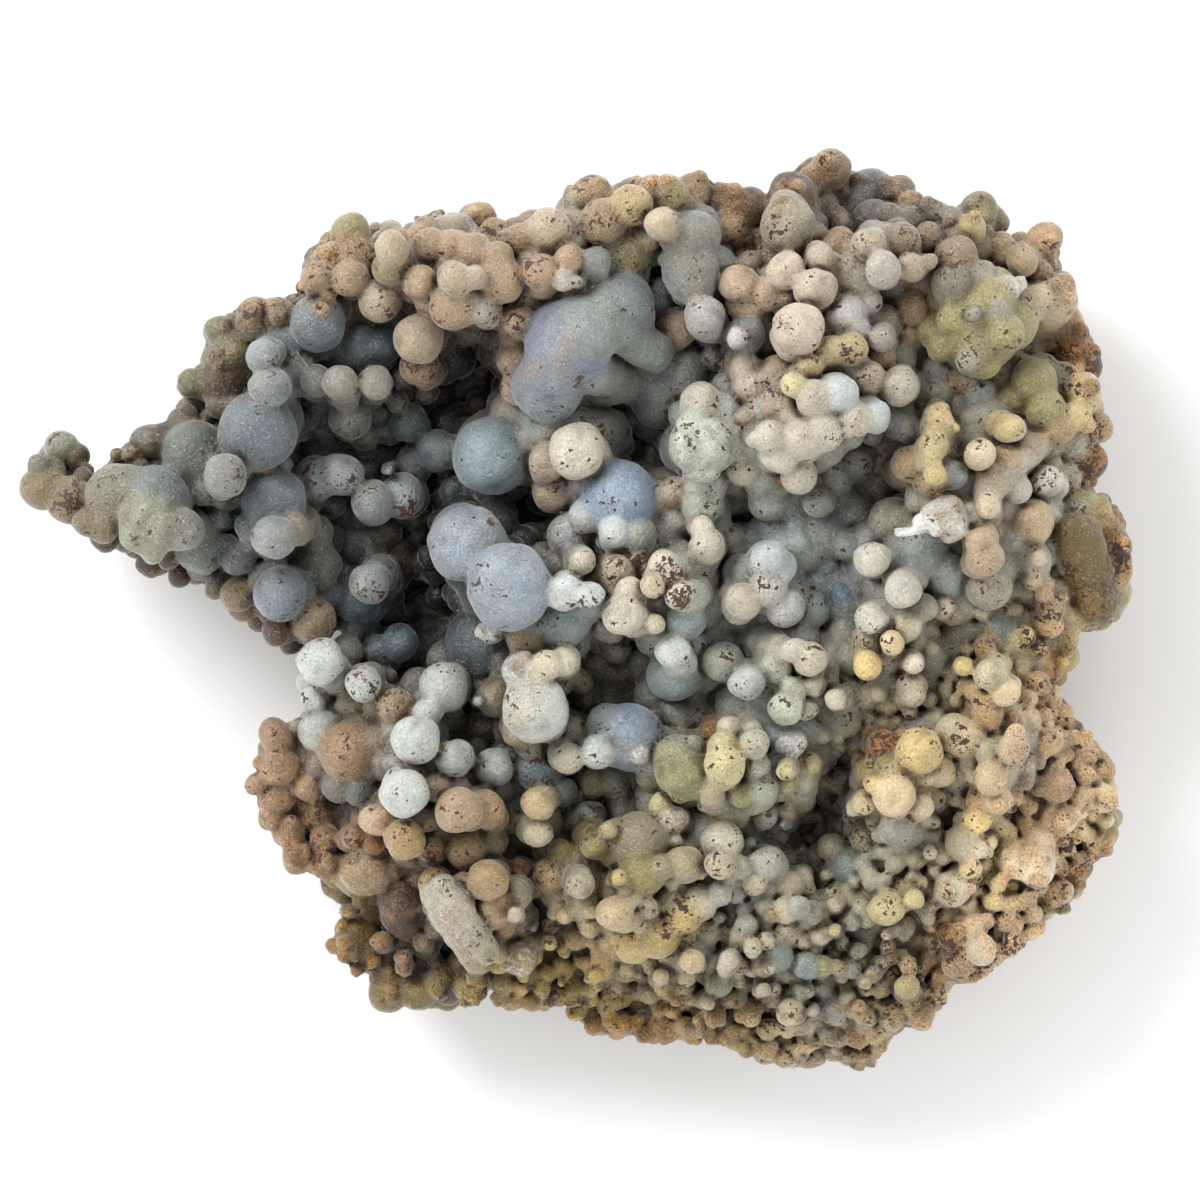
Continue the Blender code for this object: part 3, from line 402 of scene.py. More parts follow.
# Centre
CENTRE = [
    (-10.5, 20, 4.9, 2, "b"), (-17.2, 20.7, 2.5, 1, "b"), (-16.5, 15, 2.4, 0, "b"),
    (0.2, 20.7, 3.4, 3, "c"), (-3.5, 19.3, 2.3, 2, "p"), (-2.6, 15.8, 2.8, 2, "p"),
    (1.4, 12.6, 2.2, 2, "w"), (-0.5, 10.2, 2.8, 2, "w"), (0.8, 6.8, 1.75, 3, "c"), (-13.5, 9, 4.8, 3, "B"),
    (-8.3, 3.7, 5.6, 3, "B"), (-10.3, -1.9, 1.6, 2, "q"), (-19.2, 10, 1.9, 0, "s"), (-1.4, 3, 2.4, 3, "w"),
    (1.8, 2.6, 1.75, 3, "w"), (5.4, 14.8, 4.9, 2, "v"), (7.6, 9.9, 2.5, 2, "g"), (5, 10.5, 2.1, 2, "w"),
    (12.5, 15.4, 2.1, 2, "p"), (10.4, 14.7, 2.2, 2, "p"), (7.9, 7, 1.4, 1, "t"), (5, 5.2, 2.4, 1, "p"),
    (11.3, 5.7, 2.4, 3, "c"), (9.7, 3.8, 1.5, 3, "p"), (13, 2.5, 1.8, 3, "c"), (14.8, 2.6, 2.1, 2, "g"),
    (6.8, 3, 1.8, 2, "c"), (6.2, 0.2, 2.7, 3, "c"), (15.7, 26.3, 2.9, 3, "c"), (18, 25.4, 2.6, 2, "w"),
    (16.2, 21.5, 4.2, 3, "G"), (16.2, 16.8, 2.8, 2, "G"), (16, 13.8, 2.7, 2, "G"),
    (15.9, 11.1, 1.45, 3, "c"), (16.5, 8.7, 2.35, 3, "c"), (21, 18.3, 2, 2, "c"), (20, 17, 2.2, 1, "c"),
    (21.4, 25, 1.5, 1, "p"), (25.5, 26.7, 2.3, 2, "p"), (26.9, 24, 2.2, 2, "p"), (24.3, 22.4, 2.1, 3, "c"),
    (22.5, 22.3, 0.85, 3, "c"), (25.6, 20.2, 2.3, 3, "c"), (28.4, 22.2, 2.7, 3, "c"),
    (31, 23.1, 2.5, 3, "c"), (30, 27.2, 2.4, 3, "c"), (27.3, 29, 1.7, 3, "y"), (33, 27.7, 2.5, 3, "w"),
    (34.8, 24.6, 2.3, 3, "c"), (37.4, 24.9, 2.1, 3, "w"), (36.8, 29.7, 2.1, 2, "p"),
    (40.5, 28.8, 2.4, 3, "c"), (28, 17.4, 2.2, 3, "c"), (24, 16.6, 2.8, 2, "g"), (24.4, 14.2, 2.6, 2, "g"),
    (26.4, 13.6, 2.4, 1, "b"), (30.2, 14, 1.75, 2, "g"), (25.2, 10.6, 2.7, 1, "b"), (31, 10, 3.6, 1, "b"),
    (24.2, 7.2, 2.3, 3, "w"), (25.5, 6.2, 2.2, 2, "w"), (21, 1.8, 2.2, 3, "c"), (24.2, 3.6, 2.3, 2, "w"),
    (22, 5.4, 2.4, 1, "g"), (26.4, 1.1, 2.5, 2, "w"), (33.3, 2.4, 1.9, 1, "s"), (28.7, 4.8, 1.9, 0, "s"),
]
# Right slope
RIGHT = [
    (42, 26, 5, 0, "s"), (45.6, 23.9, 2, 3, "y"), (44.9, 21.3, 1.9, 3, "y"), (47.5, 23.5, 0.6, 3, "y"),
    (46.2, 25.8, 0.5, 3, "y"), (44.9, 17.8, 1.5, 3, "y"), (42, 19, 2.4, 2, "t"), (44.5, 16.6, 1.7, 2, "t"),
    (47.1, 17.7, 2, 2, "b"), (50.2, 26.7, 2.05, 1, "s"), (54.3, 23.5, 2.05, 3, "y"),
    (50.6, 20.3, 1.95, 3, "c"), (57.3, 29.4, 3, 2, "o"), (58.7, 26, 2.5, 2, "o"), (60.2, 23.6, 2.3, 2, "t"),
    (61, 28.5, 2, 1, "o"), (55, 27.2, 2.3, 1, "o"), (63.5, 27.8, 2.6, 2, "y"), (62.6, 25, 1.8, 2, "y"),
    (51.8, 17.2, 1.9, 2, "t"), (53.8, 19, 2.2, 2, "t"), (56.2, 21.2, 2.1, 2, "t"), (58, 21.6, 1.4, 2, "t"),
    (51.5, 13.8, 1.6, 3, "c"), (59, 16.9, 2.1, 2, "w"), (55.3, 15.8, 1.7, 2, "w"),
    (46.3, 12.5, 2.2, 2, "q"), (39.6, 12, 2.9, 1, "g"), (37.2, 7.1, 2.3, 3, "w"), (40, 7, 1.5, 1, "s"),
    (43.6, 7.8, 3.2, 1, "b"), (46.4, 4.8, 2.7, 1, "b"), (50.6, 9.4, 1.8, 3, "p"), (51.3, 7.3, 2.4, 3, "p"),
    (51.7, 3.4, 2.8, 2, "g"), (57.9, 7.1, 1.05, 2, "c"), (49.5, 12.7, 1.5, 2, "w"),
    (57.2, 11.6, 2.8, 2, "p"), (55, 9.8, 2.2, 1, "g"), (41, 3.3, 2.3, 3, "w"), (37.2, -0.3, 2.2, 3, "w"),
    (43.5, 1.1, 1.9, 2, "g"), (46, 0.8, 1.4, 2, "c"), (63.3, 12.2, 3.8, 1, "o"), (65.3, 3.4, 4.2, 1, "o"),
    (67.8, 8.5, 1.8, 1, "r"), (58.5, 2.7, 1.1, 2, "t"), (59.4, 1, 1.8, 2, "t"), (61.1, 2.3, 0.6, 2, "t"),
    (61, 6.5, 0.6, 1, "b"), (62.3, 33.3, 2.2, 1, "r"), (64, 31, 1.9, 1, "r"), (64.2, 19.3, 2.2, 1, "r"),
    (65.2, 23.5, 2, 1, "t"), (50, 36.6, 6.4, 2, "o"), (53.6, 35.4, 2.5, 3, "o"), (49.2, 32, 1.7, 3, "g"),
    (49.4, 37.8, 0.9, 3, "g"), (53, 38.2, 1.4, 3, "g"), (48.5, 29.8, 2, 1, "p"), (54.2, 41, 1.6, 3, "q"),
    (56, 44.4, 2.1, 2, "p"), (53.5, 45.9, 2, 1, "t"), (58.6, 47, 2.3, 1, "t"), (58.2, 43, 1.6, 1, "t"),
    (59, 38.6, 3, 2, "p"), (61.6, 36.4, 2.3, 1, "p"), (50.6, 42.5, 2.2, 2, "g"),
]
# Middle of the lower half
LOWER_MIDDLE = [
    (-31.9, -5.7, 2.9, 3, "w"), (-33.5, -8.3, 1.6, 1, "w"), (-26.5, -8.5, 2.2, 3, "w"),
    (-29, -7, 2.3, 0, "t"), (-32.7, -10.4, 1.7, 1, "w"), (-30.4, -11, 1.8, 0, "n"),
    (-31.8, -14.3, 2.9, 1, "w"), (-22, -3.2, 2.45, 2, "s"), (-22.6, -11.1, 2.3, 2, "t"),
    (-16.4, -8.9, 3, 3, "w"), (-16.4, -5.4, 2.3, 1, "g"), (-17.8, -3.8, 2.4, 0, "b"),
    (-18.4, -12, 1.9, 2, "w"), (-19.9, -15.5, 3.1, 3, "w"), (-15.1, -17.8, 2.4, 3, "w"),
    (-10.2, -18.9, 2.4, 2, "w"), (-21.4, -22.2, 2.9, 3, "w"), (-11.6, -3.4, 4.9, 1, "s"),
    (-1.5, -0.8, 3.4, 1, "b"), (-6, -3, 2.6, 1, "t"), (-7, -6.9, 2.2, 3, "q"), (-3.6, -6.2, 1.9, 3, "c"),
    (-1.5, -5.8, 1.9, 3, "c"), (-5, -11.5, 4.1, 3, "w"), (-7, -14.4, 2.3, 1, "p"),
    (-10, -10.1, 2.5, 1, "p"), (-12, -10.5, 0.7, 2, "w"), (0.6, -8.2, 1.5, 1, "o"), (2, -5.6, 2.2, 0, "g"),
    (-0.3, -14.4, 2, 1, "p"), (-0.8, -17.8, 2, 3, "c"), (2.8, -16.9, 2.2, 3, "w"),
    (3.8, -13.4, 2.4, 2, "b"), (-13.8, -13.6, 3.3, 0, "b"), (-5, -19.2, 2.6, 1, "s"),
    (6.6, -15.1, 4.3, 2, "v"), (8.2, -17.4, 1.4, 2, "q"), (9.9, -1, 1.2, 3, "c"), (13.9, -0.6, 2.4, 2, "b"),
    (12.2, -4.4, 2.15, 3, "w"), (12.6, -7.1, 3.6, 2, "b"), (7.6, -5, 2.8, 0, "n"),
    (18.5, -5.7, 2.5, 2, "g"), (21.4, -8.4, 2.15, 3, "w"), (25.1, -6.4, 2.05, 2, "g"),
    (27.3, -4.3, 1.65, 3, "k"), (29.4, -5.4, 2.05, 3, "c"), (29.9, -8.8, 1.3, 2, "c"),
    (31.8, -7.7, 1.05, 1, "g"), (32.6, -10.4, 1.5, 3, "c"), (26.4, -11.5, 2.1, 3, "G"),
    (27.2, -9.2, 1.7, 2, "G"), (28.8, -11.6, 1.5, 2, "G"), (23.3, -10.2, 1.9, 1, "g"),
    (23.9, -12.7, 1.2, 0, "g"), (19.9, -11.9, 1.8, 0, "n"), (21.2, -12.6, 0.8, 1, "g"),
    (12, -11.8, 1.6, 1, "g"), (13.1, -12.6, 2.1, 1, "g"), (9, -10.5, 1.5, 0, "s"), (19.2, -14, 1.7, 3, "c"),
    (17, -14.2, 1.3, 2, "r"), (14.8, -16.1, 1.3, 2, "g"), (13.4, -19.3, 3.4, 2, "o"),
    (12.8, -17.6, 2.6, 2, "g"), (18.8, -18.6, 2.7, 3, "y"), (18.6, -16.4, 2.1, 3, "y"),
    (22.3, -16, 1.9, 3, "c"), (22, -14.6, 1.4, 2, "c"), (23.1, -18.6, 1.5, 2, "g"),
    (23.3, -21.7, 2.1, 2, "G"), (20.8, -22.5, 1.6, 2, "o"), (17.2, -22.4, 1.8, 2, "p"),
    (18.3, -24.6, 2.3, 1, "o"), (18.4, -28.4, 2.6, 2, "c"), (26.4, -19.4, 1.25, 3, "y"),
    (26.4, -21, 1.5, 2, "o"), (28.2, -20.5, 1.7, 2, "c"), (29.5, -18.3, 1.35, 2, "y"),
    (28.2, -23, 1.5, 2, "p"), (26.2, -24.4, 1.5, 2, "p"), (26.1, -26.1, 0.5, 3, "w"),
    (23.9, -25, 1.55, 2, "g"), (26.8, -16.2, 1.8, 2, "q"), (24.6, -15, 1.8, 1, "b"),
    (30.5, -13, 2.3, 0, "g"), (30.6, -15.6, 1.5, 0, "g"), (28.4, -15.2, 0.5, 1, "g"),
    (32.6, -18.8, 1.6, 0, "o"), (34.5, -21.6, 1.9, 0, "n"), (34.8, -24, 1.1, 3, "c"),
    (33.2, -26.4, 1.65, 1, "g"), (32.1, -28.8, 1.75, 2, "c"), (31.8, -24, 1.6, 0, "n"),
    (21.8, -26.5, 2.6, 0, "v"), (14.3, -26, 1.9, 0, "s"), (10.6, -23.6, 1.45, 2, "y"),
]
# Lower left cluster
LOWER_LEFT = [
    (-28, -17, 3.9, 1, "p"), (-37.5, -14.9, 2.1, 1, "p"), (-37.1, -18.7, 2.8, 1, "p"),
    (-40, -20.9, 1.5, 1, "p"), (-37.3, -23.1, 2.1, 1, "p"), (-37.8, -25.4, 1.6, 1, "t"),
    (-35.8, -27, 2.2, 1, "t"), (-33.4, -21.5, 2, 1, "p"), (-29.9, -21.2, 2.2, 1, "b"),
    (-27, -22, 1.9, 1, "s"), (-33.5, -24.6, 1.5, 0, "r"), (-31.2, -27.9, 1.9, 1, "t"),
    (-28.2, -26, 1.5, 0, "p"), (-34.6, -30, 2.3, 1, "p"), (-31.2, -31, 2, 1, "t"),
    (-27.5, -27.7, 1.5, 1, "t"), (-24.7, -25.4, 2.2, 2, "c"), (-21.2, -27.9, 2.5, 3, "y"),
    (-25, -28.6, 1.4, 1, "r"), (-26.2, -32, 3.1, 2, "k"), (-21.8, -31.5, 1.5, 0, "n"),
    (-21.6, -35, 3.3, 1, "n"), (-21.4, -37.6, 2.8, 1, "n"), (-19, -40.8, 1.3, 1, "o"),
    (-18, -29.3, 1.9, 1, "p"), (-14.6, -24.3, 3, 3, "c"), (-17.5, -21.5, 1.8, 1, "g"),
    (-17.7, -33.2, 1.8, 2, "y"), (-17, -35.6, 1.3, 2, "y"), (-14.9, -36.4, 2.5, 3, "q"),
    (-14, -39.2, 2.1, 3, "q"), (-12.6, -41.6, 1.5, 3, "q"), (-29, -34, 1.9, 0, "o"),
    (-30.5, -33.5, 1.6, 0, "o"), (-26.8, -35.6, 1, 1, "o"), (-27.3, -40.5, 3.2, 1, "o"),
    (-24.4, -40.6, 1.2, 2, "t"), (-30.2, -41, 1, 1, "p"), (-28.7, -42.7, 1, 1, "t"),
    (-27.3, -44.3, 0.8, 1, "p"), (-23.4, -43, 2, 0, "g"), (-21.3, -42.6, 0.8, 2, "t"),
    (-21.4, -44.2, 0.9, 2, "t"), (-22.8, -46.4, 0.8, 1, "t"), (-23.9, -47.7, 0.7, 1, "t"),
    (-23.3, -47.2, 2.6, 1, "o"), (-19.5, -47, 2.6, 1, "o"), (-17.3, -46, 2, 1, "g"),
    (-19.3, -43, 2, 0, "n"),
]
# Lower ledge
LEDGE = [
    (-11.2, -24.2, 2.3, 2, "p"), (-10.6, -28.2, 2.2, 1, "g"), (-13.8, -29.2, 2.4, 1, "p"),
    (-4.5, -23.5, 2.15, 3, "c"), (-4.7, -27.2, 1.8, 3, "w"), (-1.5, -22, 1.8, 1, "s"),
    (-2.5, -27, 1.1, 0, "s"), (-8, -23, 2.2, 0, "s"), (1.8, -25, 2, 1, "s"), (-1.8, -29.5, 1.7, 1, "o"),
    (2.4, -28.8, 1.9, 2, "o"), (-3.3, -32.4, 2.2, 1, "p"), (-7, -31.5, 1.2, 1, "r"),
    (-10.9, -32.9, 2.6, 3, "p"), (-13.8, -33.5, 1.6, 1, "p"), (-7.2, -34.8, 1.9, 2, "g"),
    (-7.4, -37.2, 0.9, 3, "w"), (-10.2, -36.5, 2, 2, "p"), (-9, -38.8, 1.4, 1, "t"),
    (0.7, -33.7, 1.75, 3, "w"), (1, -36, 2.3, 1, "g"), (-1.2, -37.6, 1.1, 2, "c"),
    (-5.2, -38.8, 0.8, 1, "g"), (-3.3, -41, 1, 2, "y"), (4.4, -26.7, 1.1, 3, "c"), (8, -28.3, 3.8, 2, "g"),
    (12.3, -25.5, 1.9, 2, "q"), (5.3, -32.9, 0.9, 3, "y"), (6, -34.5, 0.7, 2, "c"), (5, -37.2, 2.3, 3, "c"),
    (7.2, -35.6, 0.9, 2, "w"), (9, -36.6, 1.3, 2, "g"), (8.2, -32.4, 3, 2, "o"), (10.7, -31.5, 1.6, 2, "g"),
    (13.7, -31.2, 2.4, 2, "G"), (11.7, -35.5, 1.8, 1, "g"), (13.5, -37.5, 2.3, 2, "y"),
    (10.3, -40.3, 2.6, 2, "y"), (7.5, -41, 2.6, 2, "y"), (5, -41, 2.3, 1, "t"), (6.5, -44, 1.2, 2, "c"),
    (3.5, -43.6, 1.6, 2, "y"), (2.5, -45, 1, 3, "y"), (12.5, -42.3, 1.7, 1, "v"),
    (14.8, -43.2, 1.5, 3, "c"), (10.8, -45, 1.05, 3, "c"), (13.4, -46.2, 1.5, 1, "g"),
    (9.4, -47.1, 1.35, 2, "g"), (12.7, -47.9, 0.9, 2, "t"), (5.3, -48, 1.15, 1, "p"),
    (10, -50.3, 1.2, 1, "t"), (-0.2, -46.5, 1.5, 1, "b"), (-1.6, -45.8, 0.5, 2, "y"),
    (-9.7, -42.2, 1.2, 2, "c"), (-9.7, -43.8, 1.1, 2, "y"), (-13.7, -43.5, 2, 0, "o"),
    (-7, -43, 2.3, 2, "q"), (-9, -46, 1.5, 1, "g"), (-8, -47.8, 1.5, 1, "p"), (-5.5, -48, 1.5, 1, "p"),
    (-4, -48.6, 0.9, 1, "t"), (6.3, -51.5, 1.2, 1, "t"), (11, -51.5, 1.5, 1, "t"),
    (13.5, -51.5, 1.5, 1, "p"), (5.4, -21.8, 1.6, 1, "q"), (2.2, -20.8, 1.9, 1, "g"),
    (4.5, -29.8, 1.6, 1, "o"), (-13.6, -46.6, 1.7, 1, "g"), (-12, -47.3, 1, 1, "t"),
    (-5.6, -40.8, 1.5, 1, "g"), (0.6, -40.2, 1.5, 1, "t"), (1, -43, 1.1, 1, "t"),
]
# Bottom right flank
FLANK = [
    (18.1, -31.2, 1.8, 3, "c"), (20.7, -31.4, 1.6, 2, "G"), (23.7, -30.9, 2.1, 3, "w"),
    (22.4, -33.3, 1.6, 2, "c"), (18.1, -34.7, 1.7, 2, "w"), (15.6, -35.8, 2.3, 2, "c"),
    (19.9, -33.6, 1, 1, "b"), (23.3, -35.2, 1.5, 1, "b"), (23.8, -38, 1.4, 1, "b"),
    (20.3, -35.5, 1.5, 0, "s"), (26.7, -33.8, 1.9, 2, "c"), (28.4, -32.7, 1.3, 2, "c"),
    (26.3, -36.7, 1.7, 2, "c"), (27.8, -36.2, 1.2, 3, "w"), (24.6, -37.4, 0.8, 2, "t"),
    (29.6, -37.3, 1.35, 2, "g"), (21.4, -38.8, 1.5, 2, "w"), (20.9, -40.2, 1.7, 2, "c"),
    (22, -41.4, 1.2, 3, "c"), (23.8, -40.5, 1.1, 2, "c"), (27.3, -39.6, 1.7, 1, "p"),
    (30.9, -40.1, 1.25, 2, "c"), (32.6, -39.4, 0.7, 3, "y"), (32.6, -36, 1.1, 2, "c"),
    (32, -36.2, 1.7, 1, "o"), (34.5, -38.3, 1.25, 2, "g"), (34.5, -31.3, 2.5, 1, "b"),
    (30.2, -31, 1, 0, "p"), (38.5, -33.4, 0.85, 1, "g"), (40.6, -33.7, 0.9, 1, "t"),
    (43.6, -33.5, 0.65, 2, "t"), (38.9, -36.7, 2.2, 3, "y"), (42.2, -35.5, 1.25, 3, "y"),
    (43.6, -36.3, 1.3, 1, "g"), (41.4, -39, 1, 1, "g"), (39.1, -39.8, 0.8, 2, "c"),
    (39, -41.4, 0.85, 2, "t"), (15.6, -40.8, 2, 1, "s"), (19.1, -43, 1.2, 3, "k"), (18.5, -44, 0.8, 3, "k"),
    (20.4, -43.7, 1.1, 2, "t"), (25.2, -42.6, 2.1, 2, "b"), (23.5, -43.6, 1.6, 2, "p"),
    (24.3, -44.1, 0.7, 3, "c"), (28.8, -43.8, 1.8, 2, "b"), (30.8, -43.8, 1.3, 2, "o"),
    (32.8, -43.8, 1, 2, "p"), (18, -46.1, 1.65, 2, "g"), (23.4, -46.7, 0.85, 3, "c"),
    (24.8, -46.7, 0.9, 2, "c"), (16.8, -48.6, 0.8, 3, "c"), (17.6, -50, 1.3, 2, "t"),
    (20.5, -49.2, 0.8, 1, "t"), (22.3, -50, 0.6, 2, "y"), (23.3, -48.7, 0.9, 0, "n"),
    (26.9, -49.5, 1.65, 3, "c"), (28.1, -47, 1.2, 2, "g"), (29, -46.9, 0.9, 2, "g"),
    (31.8, -48.4, 2.5, 1, "b"), (29.6, -49.6, 0.65, 3, "k"), (35.4, -41.8, 1.1, 2, "g"),
    (34.6, -44.2, 1.3, 2, "g"), (37.3, -44.8, 1.1, 2, "g"), (36.3, -46, 0.75, 3, "y"),
    (33.5, -40.8, 1.9, 0, "s"), (41.6, -46.4, 1.5, 3, "y"), (39.2, -46, 1.1, 1, "o"),
    (39.6, -49.9, 1.9, 2, "t"), (36.1, -50, 1.4, 2, "t"), (35.5, -48.8, 0.8, 2, "t"),
    (43.3, -49.7, 1.9, 2, "t"), (47.2, -34, 2.3, 2, "c"), (50, -38.9, 1.7, 2, "c"),
    (47, -40.2, 1.8, 2, "r"), (50.7, -41.6, 2, 3, "c"), (47.8, -43.3, 2, 2, "t"),
    (53.6, -41.8, 1.2, 1, "t"), (54.7, -38.3, 1.5, 2, "t"), (57, -37.1, 1.4, 2, "p"),
    (56.6, -35.2, 0.8, 2, "c"), (60.5, -34.5, 1.8, 2, "p"), (55, -35.8, 1, 2, "y"),
    (52.3, -35.8, 1.3, 2, "y"), (52.8, -33.5, 1.2, 2, "y"), (57.5, -31.3, 2.6, 3, "c"),
    (62.5, -31.5, 2.2, 1, "r"), (40.9, -30.1, 1.2, 1, "g"), (37.3, -29.8, 0.7, 1, "g"),
    (44.4, -29.8, 0.9, 2, "c"), (45.7, -29.2, 1.1, 1, "g"), (49.4, -31.5, 1.4, 2, "y"),
    (50.6, -29.2, 1.1, 2, "c"),
]
# Right edge crust
CRUST = [
    (41.3, -1.3, 2.1, 2, "w"), (39.7, -3.3, 1.5, 3, "c"), (36.5, -3, 1.9, 2, "g"),
    (36.5, -6.1, 1.8, 3, "y"), (36.8, -7.3, 1.9, 0, "s"), (42.4, -6.1, 1.3, 3, "w"),
    (42.1, -9.2, 2.1, 2, "w"), (44.8, -6.6, 1.25, 0, "s"), (47.2, -7.2, 1.25, 1, "g"),
    (48.7, -6.3, 1.15, 3, "y"), (47.4, -1.6, 1.4, 1, "p"), (47.2, -3.6, 1.3, 0, "s"),
    (51.3, -4.1, 1.5, 2, "t"), (52, -7.3, 2.2, 3, "G"), (49.9, -9.3, 1.4, 2, "t"),
    (53.9, -9.5, 1.9, 3, "c"), (51.6, -12.3, 2.1, 2, "t"), (51.5, -11, 1.7, 2, "t"), (53, -2, 3.3, 1, "s"),
    (56, -3.9, 1.8, 1, "g"), (56.6, -2.5, 1.1, 2, "y"), (58, -4.2, 1.3, 2, "t"), (59.3, -1.3, 1.7, 2, "t"),
    (61.3, -3, 1.6, 1, "o"), (61, -5.2, 2.1, 1, "o"), (59.2, -6.6, 1.8, 1, "r"), (57.8, -8.4, 1.6, 2, "t"),
    (59.4, -9.6, 1.3, 1, "c"), (56.5, -10.3, 1.3, 2, "c"), (47.5, -14.6, 2.5, 2, "G"),
    (48.6, -15.2, 2.6, 2, "c"), (43.8, -12, 2.2, 0, "s"), (39.2, -11, 1.2, 1, "g"),
    (38.2, -9.7, 0.8, 1, "g"), (36.3, -10.2, 1.4, 1, "g"), (38.7, -13.6, 1.2, 1, "g"),
    (38.6, -16, 1.9, 2, "r"), (43, -16.8, 2.8, 3, "y"), (39.5, -19.5, 2.2, 2, "o"),
    (45.5, -19.3, 2.1, 2, "c"), (49, -17.9, 1.8, 1, "g"), (51.5, -17, 1.6, 2, "g"),
    (54.7, -16.6, 1.9, 3, "k"), (55.6, -18.9, 1.2, 1, "v"), (57, -18.2, 1.3, 1, "v"),
    (37.3, -21, 1.35, 3, "y"), (39.8, -22.4, 2.6, 3, "c"), (36, -23.4, 1.5, 3, "c"),
    (43.8, -20.3, 1.2, 2, "c"), (43.3, -23.8, 1.5, 3, "k"), (40.2, -26.4, 2.4, 2, "B"),
    (43.6, -27.5, 1.8, 1, "b"), (36.2, -27.7, 1.8, 1, "g"), (47.2, -22.4, 1.6, 0, "s"),
    (46.5, -24.6, 1.3, 0, "s"), (52, -20.2, 2.2, 3, "c"), (53, -22.8, 1.7, 3, "c"),
    (50.6, -23, 1.8, 2, "t"), (50.3, -25.5, 1.9, 2, "y"), (48.4, -28.4, 2.3, 2, "g"),
    (59.2, -15.8, 1.9, 2, "p"), (60, -21, 2.4, 2, "p"), (60.3, -25.3, 2.4, 2, "c"),
    (63.5, -22.8, 1.8, 2, "c"), (66, -22.8, 1.8, 2, "c"), (66, -27.2, 2, 1, "o"), (63, -26.5, 1.3, 1, "c"),
    (62.5, -18, 2, 1, "p"), (60.6, -12.6, 1.8, 1, "t"), (65.8, -19.4, 1.8, 1, "t"),
    (56, -13.4, 2.2, 1, "c"), (58, -28.2, 2.2, 2, "c"), (55, -30.8, 2.2, 2, "c"),
    (53.2, -29.4, 1.6, 1, "o"), (54.2, -27.4, 1, 0, "o"), (55.6, -26, 0.9, 0, "n"),
]
# Outline of the whole piece
OUTLINE = [
    (-69.6, 17.0), (-66.3, 23.3), (-60.0, 18.3), (-55.6, 23.3), (-51.2, 24.5), (-48.8, 29.1), (-46.3, 35.8),
    (-41.9, 39.5), (-34.4, 40.8), (-34.4, 44.3), (-30.4, 50.5), (-25.0, 48.5), (-18.1, 50.4), (-13.1, 51.6),
    (-9.8, 50.1), (-4.4, 50.8), (-0.6, 54.5), (5.0, 54.5), (9.4, 54.8), (16.3, 55.5), (23.1, 52.6),
    (28.8, 57.6), (31.9, 58.6), (34.4, 56.4), (41.3, 55.1), (43.1, 52.3), (51.3, 52.0), (53.5, 48.5),
    (60.6, 48.3), (62.5, 39.5), (65.6, 34.5), (66.3, 23.3), (65.6, 17.0), (69.4, 12.0), (70.0, 4.5),
    (66.9, -1.8), (62.9, -3.0), (62.9, -6.4), (60.9, -9.5), (64.1, -14.0), (67.5, -18.0), (68.4, -23.0),
    (69.0, -25.5), (67.6, -29.6), (65.3, -31.5), (64.4, -35.2), (60.6, -38.5), (54.4, -43.4), (48.6, -47.0),
    (45.3, -51.2), (40.6, -53.4), (38.6, -55.6), (34.6, -57.9), (31.0, -56.8), (28.5, -57.9), (23.0, -57.0),
    (19.4, -55.0), (15.6, -54.2), (9.4, -54.6), (3.0, -53.6), (0.0, -51.6), (-2.5, -49.4), (-6.3, -49.8),
    (-11.0, -48.5), (-15.6, -50.4), (-21.0, -50.0), (-25.8, -49.8), (-27.5, -45.4), (-31.0, -41.0),
    (-30.0, -37.2), (-32.3, -33.0), (-36.6, -31.5), (-37.2, -28.0), (-39.7, -26.3), (-41.2, -20.4),
    (-39.2, -13.6), (-34.6, -12.6), (-33.8, -9.4), (-34.4, -5.0), (-30.8, -3.0), (-36.5, -4.2),
    (-41.4, 1.2), (-45.0, 2.0), (-52.0, 5.8), (-58.0, 8.2), (-62.5, 10.5), (-66.0, 13.0),
]
